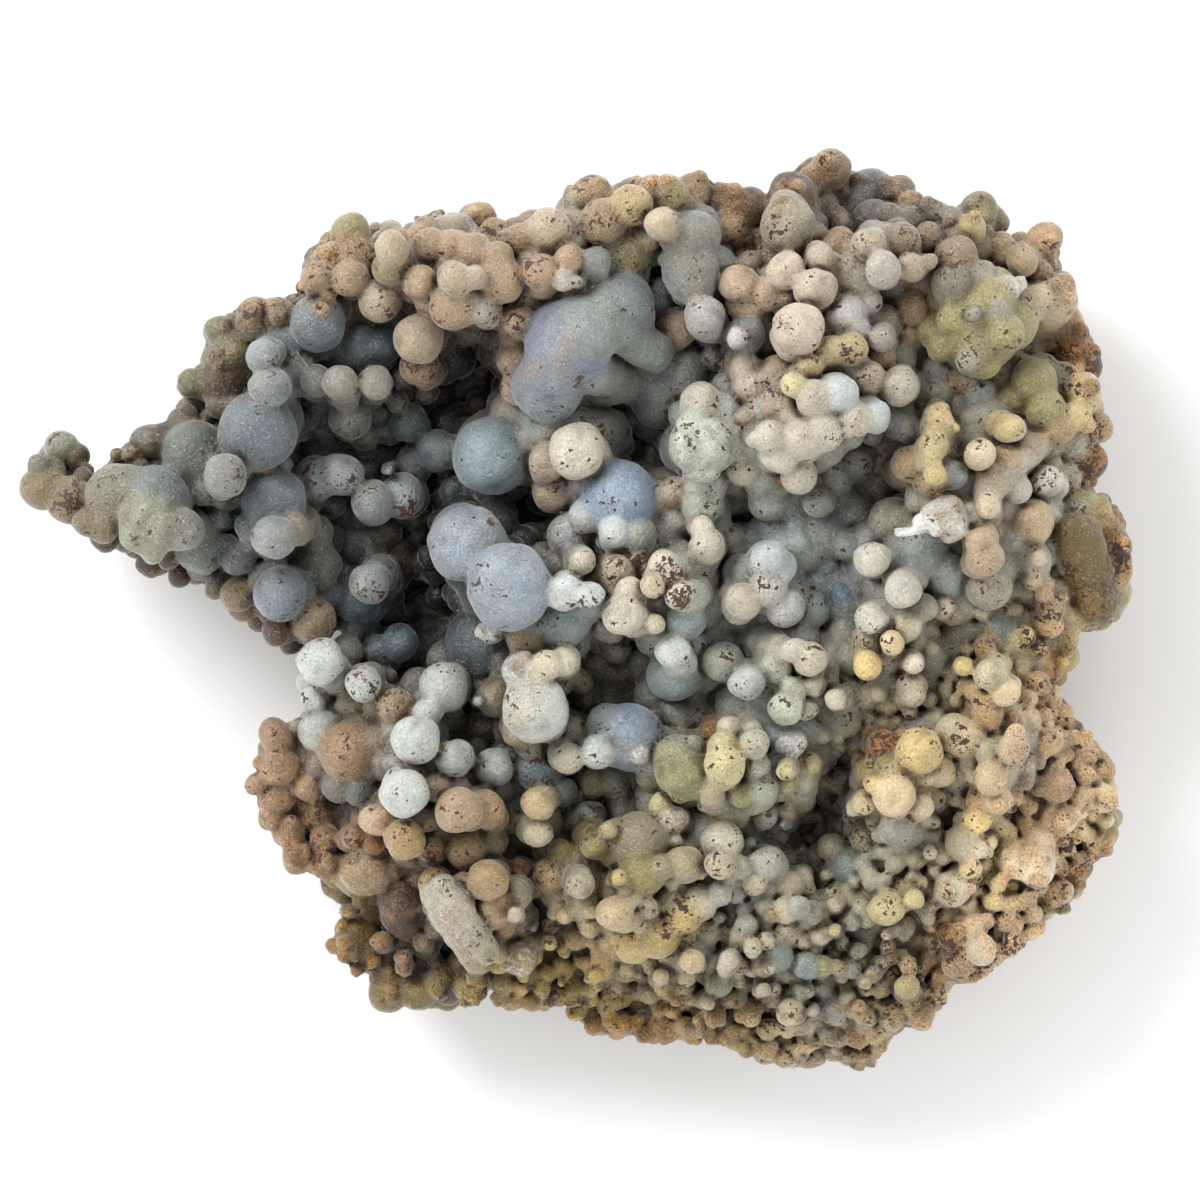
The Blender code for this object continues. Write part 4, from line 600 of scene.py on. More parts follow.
# Height of the growth surface, in mm above the rest face, at points across the piece
RELIEF = [
    # Nose and left shoulder
    (-67, 17, 28), (-62, 17, 30), (-58, 14, 32), (-52, 13, 35), (-46, 18, 34), (-46, 8, 29), (-53, 7, 24),
    (-40, 22, 35), (-38, 12, 34), (-37, 3, 32), (-33, -1, 28), (-42, 2, 26), (-53, 21, 28), (-46, 29, 28),
    # Hollow behind the upper left rim
    (-30, 22, 24), (-24, 20, 22), (-29, 7, 23), (-19, 1, 13), (-24, -3, 19), (-12, 34, 20), (-13, 28, 19),
    (-20, 10, 20), (-16, 14, 20), (-32, 29, 31), (-21, 24, 26), (-28, 13, 24), (-26, 4, 28), (-17, -5, 16),
    # Upper left rim
    (-44, 33, 29), (-38, 33, 35), (-32, 37, 34), (-27, 31, 33), (-24, 34, 26), (-40, 37, 29),
    # Upper rim
    (-28, 45, 33), (-23, 44, 38), (-20, 35, 37), (-14, 40, 42), (-9, 42, 42), (-4, 45, 41), (-12, 49, 33),
    (3, 50, 39), (10, 50, 39), (2, 53, 34), (14, 45, 41), (20, 50, 33), (27, 50, 39), (21, 47, 32),
    (32, 56, 30), (37, 53, 25), (32, 52, 24), (36, 46, 41), (42, 46, 40), (48, 44, 38), (48, 49, 33),
    (52, 50, 31), (-7, 37, 38), (6, 45, 38), (26, 43, 41), (20, 40, 39),
    # Round boulder at the upper right
    (50, 36, 39), (57, 42, 32), (60, 37, 30), (45, 32, 34), (56, 46, 32),
    # Blue mass
    (5, 38, 40), (-1, 33, 42), (-4, 28, 38), (12, 32, 34), (18, 34, 32), (22, 33, 39), (28, 37, 43),
    (33, 34, 41), (3, 23, 29), (9, 26, 30), (-6, 23, 30), (10, 39, 32), (16, 37, 37),
    # Centre
    (-10, 20, 34), (0, 20, 39), (-4, 12, 18), (5, 14, 38), (-13, 9, 39), (-8, 4, 41), (0, 8, 35),
    (10, 20, 20), (16, 24, 42), (16, 15, 40), (24, 24, 42), (32, 25, 43), (38, 26, 41), (42, 27, 33),
    (28, 16, 38), (31, 10, 33), (24, 5, 40), (16, 8, 39), (10, 3, 40), (5, 1, 40), (20, 11, 28),
    (36, 17, 30), (12, 10, 28), (20, 14, 30), (17, 30, 28),
    # Right slope
    (45, 21, 40), (50, 27, 33), (58, 27, 36), (63, 27, 31), (53, 18, 38), (59, 17, 35), (65, 18, 25),
    (46, 12, 40), (38, 8, 39), (43, 4, 38), (51, 7, 38), (57, 10, 35), (63, 12, 30), (66, 3, 28),
    (52, -1, 34), (58, -2, 33), (62, -5, 27), (33, 3, 32), (47, 30, 33), (64, 33, 26), (61, 22, 32),
    # Middle of the lower half
    (-33, -6, 31), (-27, -8, 33), (-30, -11, 23), (-16, -8, 35), (-20, -16, 38), (-11, -3, 31),
    (-10, -10, 30), (-5, -11, 41), (2, -9, 22), (-2, -5, 38), (-13, -14, 24), (6, -15, 38), (13, -7, 38),
    (7, -5, 26), (17, -11, 19), (19, -6, 36), (22, -8, 38), (26, -8, 38), (30, -6, 39), (33, -3, 32),
    (37, -2, 39), (41, -2, 40), (37, -7, 34), (42, -8, 38), (47, -3, 27), (52, -7, 37), (44, -12, 26),
    (48, -15, 37), (53, -11, 35), (34, -16, 26), (31, -23, 18), (43, -17, 40), (39, -21, 40), (51, -21, 38),
    (54, -17, 36), (47, -23, 24), (56, -24, 22), (50, -26, 35), (21, -2, 30), (28, -13, 36), (33, -10, 34),
    (15, -15, 33), (0, -19, 31), (-24, -12, 30), (-22, -4, 27), (29, -28, 16), (24, -15, 34),
    # Right edge crust
    (60, -22, 30), (66, -22, 25), (60, -28, 30), (62, -15, 28), (66, -28, 23), (63, -31, 20), (58, -8, 30),
    (60, -10, 26),
    # Lower ledge
    (19, -18, 41), (13, -19, 38), (23, -21, 39), (27, -20, 38), (18, -26, 37), (22, -27, 24), (10, -12, 27),
    (-5, -25, 37), (-8, -28, 19), (-1, -23, 27), (5, -23, 24), (2, -29, 34), (8, -29, 37), (14, -31, 38),
    (9, -37, 35), (5, -37, 36), (12, -40, 34), (4, -44, 30), (0, -34, 34), (-3, -40, 28), (-1, -43, 22),
    (-8, -43, 30), (-11, -33, 37), (-7, -35, 33), (-15, -25, 39), (-21, -28, 38), (-11, -27, 34),
    (14, -26, 27),
    # Lower left
    (-36, -16, 28), (-28, -17, 34), (-37, -24, 26), (-34, -30, 24), (-31, -25, 25), (-26, -32, 33),
    (-21, -36, 30), (-22, -32, 25), (-15, -38, 36), (-28, -40, 24), (-25, -37, 16), (-22, -44, 24),
    (-18, -46, 23), (-25, -49, 18), (-9, -48, 21), (-17, -33, 34), (-18, -29, 30), (-30, -34, 21),
    (-17, -42, 20),
    # Lower right flank
    (7, -46, 17), (2, -50, 18), (9, -50, 19), (18, -34, 36), (23, -31, 36), (18, -38, 22), (28, -30, 20),
    (27, -35, 34), (22, -41, 33), (15, -43, 31), (19, -46, 28), (25, -43, 30), (30, -40, 31), (38, -37, 34),
    (34, -32, 31), (32, -36, 31), (42, -32, 28), (47, -34, 31), (29, -47, 28), (35, -45, 29), (46, -40, 28),
    (51, -41, 28), (58, -36, 24), (62, -35, 20), (20, -52, 20), (27, -50, 27), (36, -50, 25), (42, -49, 24),
    (48, -45, 24), (30, -54, 18), (36, -55, 16), (40, -27, 35), (36, -27, 30), (57, -31, 31), (15, -50, 21),
    (36, -41, 24), (40, -42, 25), (23, -49, 20), (54, -36, 27),
]

# The tables, each with the cast that its balls share
REGIONS = (
    (NOSE, (0.79, 0.81, 0.80)),
    (HOLLOW, (0.86, 0.90, 0.94)),
    (RIM, (0.97, 0.95, 0.94)),
    (BLUE, (0.98, 0.98, 1.02)),
    (CENTRE, (1.03, 1.07, 1.12)),
    (RIGHT, (1.08, 1.08, 1.07)),
    (LOWER_MIDDLE, (1.06, 1.10, 1.12)),
    (LOWER_LEFT, (0.93, 0.87, 0.83)),
    (LEDGE, (0.99, 0.96, 0.88)),
    (FLANK, (1.00, 1.02, 1.01)),
    (CRUST, (1.15, 1.12, 1.05)),
)

# Tones of the balls as seen: red, green, blue, then how much druse, rust and grit they carry
TONES = {
    "w": (0.61, 0.60, 0.57, 0.0, 0.12, 0.0),
    "b": (0.45, 0.47, 0.46, 0.0, 0.00, 0.0),
    "B": (0.46, 0.47, 0.47, 0.1, 0.05, 0.0),
    "v": (0.43, 0.45, 0.475, 0.1, 0.00, 0.0),
    "s": (0.37, 0.40, 0.41, 0.0, 0.00, 0.0),
    "g": (0.50, 0.49, 0.44, 0.0, 0.10, 0.1),
    "G": (0.56, 0.55, 0.49, 0.1, 0.10, 0.1),
    "o": (0.46, 0.44, 0.32, 0.1, 0.20, 0.2),
    "p": (0.56, 0.50, 0.42, 0.0, 0.15, 0.1),
    "k": (0.60, 0.56, 0.51, 0.2, 0.20, 0.0),
    "c": (0.62, 0.58, 0.51, 0.0, 0.15, 0.0),
    "y": (0.62, 0.57, 0.44, 0.0, 0.30, 0.1),
    "t": (0.54, 0.47, 0.38, 0.0, 0.40, 0.4),
    "n": (0.29, 0.23, 0.17, 0.0, 0.50, 0.3),
    "r": (0.51, 0.36, 0.20, 0.0, 1.00, 0.5),
    "q": (0.56, 0.54, 0.51, 1.0, 0.05, 0.0),
    "x": (0.76, 0.76, 0.74, 1.0, 0.00, 0.0),
    "d": (0.33, 0.28, 0.15, 0.0, 0.70, 0.2),
}

# Long forms: both ends in plan, radius, half the distance between two rows (0 for one), standing, tone.
# Their steps and depth are shares of the radius
ROD_STEP = 0.35
ROD_DEPTH = 3
ROD_SHADE = (0.94, 1.06)
ROD_SPREAD = (0.9, 1.05)
RODS = (
    ((-17.2, -34.2), (-11.8, -42.6), 1.5, 0.9, 3, "G"),
    ((45.6, 25.4), (44.5, 19.4), 1.25, 0, 3, "y"),
    ((51.7, 15.6), (57.0, 21.0), 1.9, 0, 2, "G"),
    ((56.3, 38.4), (61.0, 40.2), 1.8, 0.6, 2, "c"),
    ((62.9, 10.5), (64.8, 1.5), 2.4, 0.6, 2, "d"),
    ((65.9, 11.6), (67.4, 4.5), 1.8, 0, 1, "r"),
    ((4.8, 38.3), (-1.0, 34.0), 4.4, 0, 2, "b"),
    ((-1.0, 34.0), (-3.5, 28.6), 4.0, 0, 2, "v"),
    ((4.4, 36.0), (9.9, 33.0), 2.7, 0, 2, "b"),
    ((2.0, 30.5), (10.5, 28.3), 2.8, 0, 1, "b"),
    ((-4.5, 24.0), (4.4, 23.0), 2.9, 0, 1, "b"),
)

# Pieces that the surface is divided into, each round a middle point in plan
CLUSTERS = {
    "nose": (-50, 16),
    "upper_rim": (-14, 42),
    "blue_mass": (2, 24),
    "boulder_side": (42, 38),
    "right_slope": (50, 8),
    "left_cluster": (-27, -26),
    "middle": (-12, 0),
    "centre_right": (24, 8),
    "lower_ledge": (4, -32),
    "flank": (24, -42),
    "crust": (50, -26),
}
OVERLAP = 2.4
TUCK = 0.5


def ramp(value, start, span):
    """0 up to the start, then rising to 1 over the span."""
    return np.clip((value - start) / span, 0, 1)


def zone_share(edges, x, y):
    """How much a place belongs to a zone whose edges are soft and straight."""
    share = np.ones(x.shape)
    for by_x, by_y, start, span in edges:
        share = share * ramp(by_x * x + by_y * y, start, span)
    return share


def relief(x, y):
    """Height of the growth surface, blended from the nearest readings."""
    points = np.array(RELIEF, dtype=float)
    far = (x[..., None] - points[:, 0]) ** 2 + (y[..., None] - points[:, 1]) ** 2
    far = far - far.min(axis=-1, keepdims=True)
    weight = np.exp(-far / (2 * RELIEF_REACH**2))
    return (weight * points[:, 2]).sum(axis=-1) / weight.sum(axis=-1)


def inside_distance(x, y):
    """Distance to the outline, positive inside it and negative outside."""
    corners = np.array(OUTLINE, dtype=float)
    nearest = np.full(x.shape, np.inf)
    crossings = np.zeros(x.shape, dtype=int)
    for (ax, ay), (bx, by) in zip(corners, np.roll(corners, -1, axis=0)):
        along = ((x - ax) * (bx - ax) + (y - ay) * (by - ay)) / ((bx - ax) ** 2 + (by - ay) ** 2)
        along = np.clip(along, 0, 1)
        nearest = np.minimum(nearest, np.hypot(x - ax - along * (bx - ax), y - ay - along * (by - ay)))
        if ay != by:
            spans = (ay > y) != (by > y)
            crossings += spans & (x < ax + (y - ay) * (bx - ax) / (by - ay))
    return np.where(crossings % 2 == 1, nearest, -nearest)


def surface(x, y):
    """Height of the growth surface, rounded off at the edge."""
    reach = 1 - np.clip(inside_distance(x, y) / SHOULDER_WIDTH, 0, 1)
    return np.minimum(relief(x, y), EDGE_TOP + SHOULDER_RISE * np.sqrt(1 - reach**2))


def underside(inside):
    """Height of the rough underside, which draws in from the rim to the foot."""
    reach = 1 - np.clip(inside / FOOT_INSET, 0, 1)
    return UNDERSIDE_RISE * reach**UNDERSIDE_CURVE - FOOT_DROP


def along_sight(x, y, z):
    """Moves a reading sideways so that the camera sees it where it was read, at its own height."""
    shrink = (CAMERA_HEIGHT - z) / (CAMERA_HEIGHT - RIM_PLANE)
    cx, cy = PICTURE_CENTRE
    return cx + (x - cx) * shrink, cy + (y - cy) * shrink


def lean_at(x, y):
    """How far a column near the edge leans inwards with each step down, as a share of its radius."""
    inside = inside_distance(x, y)
    ahead = (inside_distance(x + SLOPE_STEP, y), inside_distance(x, y + SLOPE_STEP))
    slope = np.stack([value - inside for value in ahead], axis=-1) / SLOPE_STEP
    return EDGE_LEAN * ramp(-inside, -LEAN_FROM, LEAN_SPAN)[:, None] * slope


def column(x, y, z, radius, floor, look, random, lean=(0, 0)):
    """A ball and the column of balls that it grew from, down to the matrix."""
    rows = [(x, y, z, radius, *look)]
    look = np.array(look)
    look[3] = 0
    while z > floor:
        z -= COLUMN_STEP * radius
        look[:3] *= COLUMN_DIM
        x += random.normal(0, COLUMN_STRAY * radius) + lean[0] * radius
        y += random.normal(0, COLUMN_STRAY * radius) + lean[1] * radius
        radius = max(min(COLUMN_GROWTH * radius, COLUMN_RADIUS), COLUMN_LEAST * radius)
        rows.append((x, y, z, radius * random.uniform(*COLUMN_SPREAD), *look))
    return rows


def toned_rows():
    """The rows of all the tables, each with the cast of its region."""
    return [(*row, cast) for region, cast in REGIONS for row in region]


def measured_balls(random):
    """The balls in the tables, placed so that the camera sees them where they were read."""
    balls = []
    rows = toned_rows()
    leans = lean_at(*np.array([row[:2] for row in rows]).T)
    for (px, py, radius, standing, tone, cast), lean in zip(rows, leans):
        ground = float(surface(np.array(px), np.array(py)))
        top = ground + STAND_UP[standing] - radius
        x, y = along_sight(px, py, top)
        look = np.array(TONES[tone])
        look[:3] *= np.array(cast) * random.uniform(*BALL_SHADE)
        balls += column(x, y, top, radius, ground - MATRIX_DEPTH, look, random, lean)
        if radius > KNOBBY_FROM and tone in KNOBBY_TONES:
            balls += knobs(x, y, top, radius, look, random)
    return balls


def knobs(x, y, z, radius, look, random):
    """Small balls over the upper side of a big one."""
    rows = []
    for k in range(KNOBS):
        turn = k * GOLDEN_TURN + random.uniform(-KNOB_STRAY, KNOB_STRAY)
        rise = random.uniform(*KNOB_RISE)
        out = math.sqrt(1 - rise**2)
        way = np.array((out * math.cos(turn), out * math.sin(turn), rise))
        size = radius * random.uniform(*KNOB_SIZE)
        shade = np.array(look)
        shade[:3] *= random.uniform(*KNOB_SHADE)
        rows.append((*(np.array((x, y, z)) + way * (radius - KNOB_SINK * size)), size, *shade))
    return rows


def swept_balls(random):
    """Long forms: rows of balls so close that they read as one rod."""
    rows = []
    for start, end, radius, side, standing, tone in RODS:
        start, end = np.array(start), np.array(end)
        length = math.hypot(*(end - start))
        across = np.array((start[1] - end[1], end[0] - start[0])) / length
        for share in np.linspace(0, 1, int(length / (ROD_STEP * radius))):
            for shift in (-side, side) if side else (0,):
                px, py = start + (end - start) * share + across * shift
                top = float(surface(np.array(px), np.array(py))) + STAND_UP[standing] - radius
                x, y = along_sight(px, py, top)
                look = np.array(TONES[tone])
                look[:3] *= random.uniform(*ROD_SHADE)
                size = radius * random.uniform(*ROD_SPREAD)
                rows += column(x, y, top, size, top - ROD_DEPTH * radius, look, random)
    return rows


def jags(random):
    """Small angular bits near the lower edge, as rows like those of the crystals."""
    x = random.uniform(*JAG_X, JAGS)
    y = random.uniform(*JAG_Y, JAGS)
    inside = inside_distance(x, y)
    rows = []
    for k in np.flatnonzero((inside > JAG_BAND[0]) & (inside < JAG_BAND[1])):
        half = tuple(random.uniform(*JAG_HALF, 3))
        rise = random.uniform(*JAG_RISE)
        turn = random.uniform(0, math.pi)
        tilt = random.uniform(-JAG_TILT, JAG_TILT)
        rows.append((x[k], y[k], rise, half, turn, tilt, JAG_TONES[k % len(JAG_TONES)]))
    return rows


def shards(rows, field, origin, axes):
    """Joins angular pieces to the field; returns their middles as balls that carry their look."""
    balls = []
    for px, py, rise, half, turn, tilt, tone in rows:
        z = float(surface(np.array(px), np.array(py))) + rise - half[2]
        middle = np.array((*along_sight(px, py, z), z))
        first = np.maximum(((middle - SHARD_REACH - origin) / CELL).astype(int), 0)
        last = np.minimum(((middle + SHARD_REACH - origin) / CELL).astype(int) + 2, field.shape)
        part = tuple(slice(a, b) for a, b in zip(first, last))
        places = (axes[k][part[k]] - middle[k] for k in range(3))
        away = np.stack(np.meshgrid(*places, indexing="ij"), axis=-1)
        away = np.abs(away @ np.array(Euler((tilt, SECOND_TILT * tilt, turn)).to_matrix())) - half
        cut = CHAMFER * (away[..., 0] + away[..., 2] + CHAMFER_SHARE * half[2])
        field[part] = np.minimum(field[part], np.maximum(away.max(axis=-1), cut))
        balls.append((*middle, SHARD_LOOK * max(half), *TONES[tone]))
    return balls


def nearby_look(x, y):
    """Colour and traits of the measured balls round each place."""
    rows = toned_rows()
    plan = np.array([row[:2] for row in rows])
    looks = np.array([TONES[row[4]] for row in rows])
    looks[:, :3] *= np.array([row[5] for row in rows])
    far = (x[:, None] - plan[:, 0]) ** 2 + (y[:, None] - plan[:, 1]) ** 2
    weight = np.exp(-far / (2 * LOOK_REACH**2)) + LEAST_WEIGHT
    return weight @ looks / weight.sum(axis=1, keepdims=True)


def share_of(zone, x, y):
    """How much of the ground at a place belongs to a zone of the filling."""
    if zone == "upper":
        return ramp(-np.hypot(x - UPPER_MIDDLE[0], y - UPPER_MIDDLE[1]), -UPPER_REACH, UPPER_FADE)
    return zone_share(ZONES[zone], x, y)


def filling_balls(random, spacing, radii, sinks, dim, zone, tone):
    """A layer of small balls on a jittered grid, under and between the measured ones."""
    xs = np.arange(-HALF_LENGTH, HALF_LENGTH, spacing)
    ys = np.arange(-HALF_WIDTH, HALF_WIDTH, spacing)
    x, y = (grid.ravel() for grid in np.meshgrid(xs, ys, indexing="ij"))
    x = x + random.uniform(-0.5, 0.5, x.size) * spacing
    y = y + random.uniform(-0.5, 0.5, y.size) * spacing
    radius = random.uniform(*radii, x.size)
    sink = random.uniform(*sinks, x.size)
    kept = inside_distance(x, y) > radius + FILL_CLEARANCE
    kept &= random.uniform(0, 1, x.size) < share_of(zone, x, y)
    x, y, radius, sink = x[kept], y[kept], radius[kept], sink[kept]
    look = nearby_look(x, y)
    if tone:
        look = (1 - FILL_LEAN) * look + FILL_LEAN * np.array(TONES[tone])
    look[:, :3] *= random.uniform(dim - FILL_SHADE, dim + FILL_SHADE, x.size)[:, None]
    look[:, 3] *= FILL_DRUSE
    return list(zip(x, y, surface(x, y) - sink - radius, radius, *look.T))


def crust_share(x, y):
    """How much of the ground at a place is strewn with crumbs."""
    rim = RIM_CRUMBS * ramp(-inside_distance(x, y), -RIM_BAND, RIM_FADE)
    rim = rim * ramp(np.abs(x) + np.abs(y), RIM_FROM, RIM_SPAN)
    return np.maximum.reduce([zone_share(zone, x, y) for zone in CRUST_ZONES] + [rim])


def crumbs(field, origin, axes, random):
    """Grains of the crust, each sunk a little in the top of what is there."""
    solid = field < 0
    levels = len(axes[2]) - 1 - solid[:, :, ::-1].argmax(axis=2)
    x = random.uniform(*CRUMB_X, CRUMBS)
    y = random.uniform(-HALF_WIDTH, HALF_WIDTH, CRUMBS)
    radius = CRUMB_RADIUS + CRUMB_SPREAD * random.uniform(0, 1, CRUMBS) ** 2
    spot = (((x - origin[0]) / CELL).round().astype(int), ((y - origin[1]) / CELL).round().astype(int))
    kept = solid.any(axis=2)[spot] & (inside_distance(x, y) > radius)
    kept &= random.uniform(0, 1, CRUMBS) < crust_share(x, y)
    x, y, radius, level = x[kept], y[kept], radius[kept], levels[spot][kept]
    look = nearby_look(x, y)
    shade = random.uniform(*CRUMB_SHADE, x.size)[:, None]
    look[:, :3] = ((1 - CRUMB_TINT) * look[:, :3] + CRUMB_TINT * np.array(CRUMB_COLOUR)) * shade
    look[:, 5] = 1
    z = axes[2][level] + random.uniform(*CRUMB_SINK, x.size) * radius
    return np.array(list(zip(x, y, z, radius, *look.T)))


def side_balls(random, field, origin):
    """Lumps round the edge and down the sides, where the crust thins out to bare matrix."""
    corners = np.array(OUTLINE, dtype=float)
    rows = []
    for start, end in zip(corners, np.roll(corners, -1, axis=0)):
        length = math.hypot(*(end - start))
        inward = np.array((end[1] - start[1], start[0] - end[0])) / length
        for height, inset, smallest, largest, spacing in SIDE_ROWS:
            for place in np.arange(SIDE_START, length, spacing):
                radius = random.uniform(smallest, largest)
                x, y = start + (end - start) * place / length + inward * (inset + radius)
                rows.append((x, y, height + random.uniform(-SIDE_SCATTER, SIDE_SCATTER), radius))
    rows = np.array(rows)
    held = field_at(rows[:, :3], field, origin) < SIDE_GRIP * rows[:, 3]
    held &= inside_distance(rows[:, 0], rows[:, 1]) > SIDE_CLEARANCE * rows[:, 3]
    x, y, z, radius = rows[held].T
    look = nearby_look(x, y)
    worn = ramp(-z, -WORN_FROM, WORN_SPAN)[:, None]
    look = look * (1 - worn) + np.array(MATRIX_LOOK) * worn
    look[:, :3] *= random.uniform(*SIDE_SHADE, x.size)[:, None]
    return list(zip(x, y, z, radius, *look.T))


def keep_in_box(balls):
    """Moves balls that would reach out of the box of the CAD back inside it."""
    low, high = (np.array(corner) / MM for corner in cad_box)
    reach = balls[:, 3:4] + BOX_GAP
    balls[:, :3] = np.clip(balls[:, :3], low + reach, high - reach)
    return balls


def matrix_field():
    """Distance field of the bare matrix on a grid, with the grid's origin and axes."""
    low, high = (np.array(corner) / MM for corner in cad_box)
    origin = np.floor(low - MARGIN)
    count = np.ceil((high - low + 2 * MARGIN) / CELL).astype(int) + 1
    axes = tuple(origin[k] + CELL * np.arange(count[k]) for k in range(3))
    x, y = np.meshgrid(*axes[:2], indexing="ij")
    inside = inside_distance(x, y)
    top = surface(x, y) - MATRIX_DEPTH
    z = axes[2][None, None, :]
    field = np.maximum(z - top[..., None], underside(inside)[..., None] - z)
    field = np.maximum(field, (MATRIX_INSET - inside)[..., None]).astype(np.float32)
    return field, origin, axes


def grow(field, origin, axes, balls, random):
    """Blends balls into the field, the bigger ones more softly, each a little longer one way."""
    for cx, cy, cz, r in balls[:, :4]:
        blend = BLEND_LEAST + BLEND_BY_RADIUS * r
        middle = np.array((cx, cy, cz))
        stretch = 1 + random.uniform(-UNEVEN, UNEVEN, 3)
        reach = STRETCH_ROOM * r + FIELD_REACH
        first = np.maximum(((middle - reach - origin) / CELL).astype(int), 0)
        last = np.minimum(((middle + reach - origin) / CELL).astype(int) + 2, field.shape)
        if np.any(first >= last):
            continue
        part = tuple(slice(a, b) for a, b in zip(first, last))
        dx, dy, dz = (((axes[k][part[k]] - middle[k]) / stretch[k]) ** 2 for k in range(3))
        away = np.sqrt(dx[:, None, None] + dy[None, :, None] + dz[None, None, :])
        ball = away.astype(np.float32) - np.float32(r)
        old = field[part]
        mix = np.clip(0.5 + 0.5 * (old - ball) / blend, 0, 1)
        field[part] = old + (ball - old) * mix - blend * mix * (1 - mix)


def cluster_meshes(field, origin, plan_axes):
    """Cuts the field into overlapping clusters, each tucked a little under its neighbours at the edge."""
    x, y = np.meshgrid(*plan_axes, indexing="ij")
    middles = np.array(list(CLUSTERS.values()), dtype=float)
    away = np.hypot(x[..., None] - middles[:, 0], y[..., None] - middles[:, 1])
    for k, name in enumerate(CLUSTERS):
        others = np.delete(away, k, axis=-1).min(axis=-1)
        beyond = (away[..., k] - others) / 2
        own = np.maximum(field + TUCK * np.clip(beyond, 0, None)[..., None], (beyond - OVERLAP)[..., None])
        grid = openvdb.FloatGrid(float(BAND_CELLS * CELL))
        grid.copyFromArray(np.clip(own, -BAND_CELLS * CELL, BAND_CELLS * CELL).astype(np.float32))
        verts, triangles, quads = grid.convertToPolygons(0.0, 0.0)
        yield name, uneven(verts * CELL + origin), triangles, quads


def uneven(verts):
    """Pushes corners a little to and fro, so that no ball is quite round."""
    moved = verts.copy()
    for length, reach in WAVES:
        for axis in range(3):
            along = verts @ WAVE_TURNS[axis] * (2 * math.pi / length)
            moved[:, axis] += reach * np.sin(along + WAVE_BEND * np.sin(WAVE_BEND_PITCH * along + axis))
    low, high = (np.array(corner) / MM for corner in cad_box)
    return np.clip(moved, low, high)


def field_at(points, field, origin):
    """The field's value at places, blended between the cells of the grid."""
    spot = np.clip((points - origin) / CELL, 0, np.array(field.shape) - LAST_CELL)
    cell = spot.astype(int)
    part = spot - cell
    value = np.zeros(len(points))
    for corner in np.ndindex(2, 2, 2):
        share = np.prod(np.where(corner, part, 1 - part), axis=1)
        value += share * field[tuple((cell + corner).T)]
    return value


def local_tops(field, axes):
    """How high the stone reaches round each place in plan, for the painted shade of the hollows."""
    levels = len(axes[2]) - 1 - (field[:, :, ::-1] < 0).argmax(axis=2)
    tops = axes[2][np.where((field < 0).any(axis=2), levels, 0)]
    steps = int(HOLLOW_REACH / CELL)
    for axis in (0, 1):
        tops = np.max([np.roll(tops, shift, axis=axis) for shift in range(-steps, steps + 1)], axis=0)
    for axis in (0, 1):
        tops = np.mean([np.roll(tops, shift, axis=axis) for shift in range(-steps, steps + 1)], axis=0)
    return tops


def make_mesh(name, verts, triangles, quads):
    """A mesh object from corner, triangle and quad arrays."""
    mesh = bpy.data.meshes.new(name)
    corners = np.concatenate((triangles.ravel(), quads.ravel())).astype(np.int32)
    starts = np.concatenate((np.arange(len(triangles)) * 3, 3 * len(triangles) + np.arange(len(quads)) * 4))
    mesh.vertices.add(len(verts))
    mesh.vertices.foreach_set("co", (verts * MM).astype(np.float32).ravel())
    mesh.loops.add(len(corners))
    mesh.loops.foreach_set("vertex_index", corners)
    mesh.polygons.add(len(starts))
    mesh.polygons.foreach_set("loop_start", starts.astype(np.int32))
    mesh.polygons.foreach_set("use_smooth", np.ones(len(starts), dtype=bool))
    mesh.update(calc_edges=True)
    obj = bpy.data.objects.new(name, mesh)
    bpy.context.collection.objects.link(obj)
    return obj


def blended_looks(verts, balls):
    """Colour and traits at each vertex, blended from the balls whose skins are nearest."""
    centres, radii, looks = balls[:, :3], balls[:, 3], balls[:, 4:]
    result = np.tile(np.array(MATRIX_LOOK, dtype=float), (len(verts), 1))
    keys = np.floor(verts[:, :2] / LOOK_BLOCK).astype(int)
    order = np.lexsort((keys[:, 1], keys[:, 0]))
    keys = keys[order]
    change = np.flatnonzero(np.any(np.diff(keys, axis=0), axis=1)) + 1
    for members in np.split(order, change):
        points = verts[members]
        low = points[:, :2].min(axis=0) - LOOK_MARGIN
        high = points[:, :2].max(axis=0) + LOOK_MARGIN
        above = centres[:, :2] + radii[:, None] > low
        below = centres[:, :2] - radii[:, None] < high
        near = np.all(above & below, axis=1)
        if not near.any():
            continue
        gap = np.sqrt(((points[:, None] - centres[near][None]) ** 2).sum(axis=2)) - radii[near]
        nearest = gap.min(axis=1)
        weight = np.exp(-(gap - nearest[:, None]) / LOOK_BLEND)
        look = weight @ looks[near] / weight.sum(axis=1, keepdims=True)
        bare = ramp(nearest, 0, LOOK_FADE)[:, None]
        result[members] = look * (1 - bare) + result[members] * bare
    return result


def low_dirt(x, y, inside):
    """Filter for the brown crust along the lower edge."""
    share = ramp(-inside, -DIRT_BAND, DIRT_FADE) * zone_share(DIRT_ZONE, x, y)
    share = share * np.maximum(zone_share(DIRT_LEFT, x, y), DIRT_LEAST)
    return 1 - share[:, None] * np.array(LOW_DIRT)


def tone_and_shade_patch(x, y):
    """Filter for the wide places that are paler or dimmer, painted shade on the back of the upper rim among
    them.
    """
    result = np.ones((x.size, 3))
    for gx, gy, reach, factors in TONE_AND_SHADE_PATCHES:
        share = np.clip(PATCH_FADE - np.hypot(x - gx, y - gy) / reach, 0, 1)[:, None]
        result *= 1 + share * (np.array(factors) - 1)
    return result


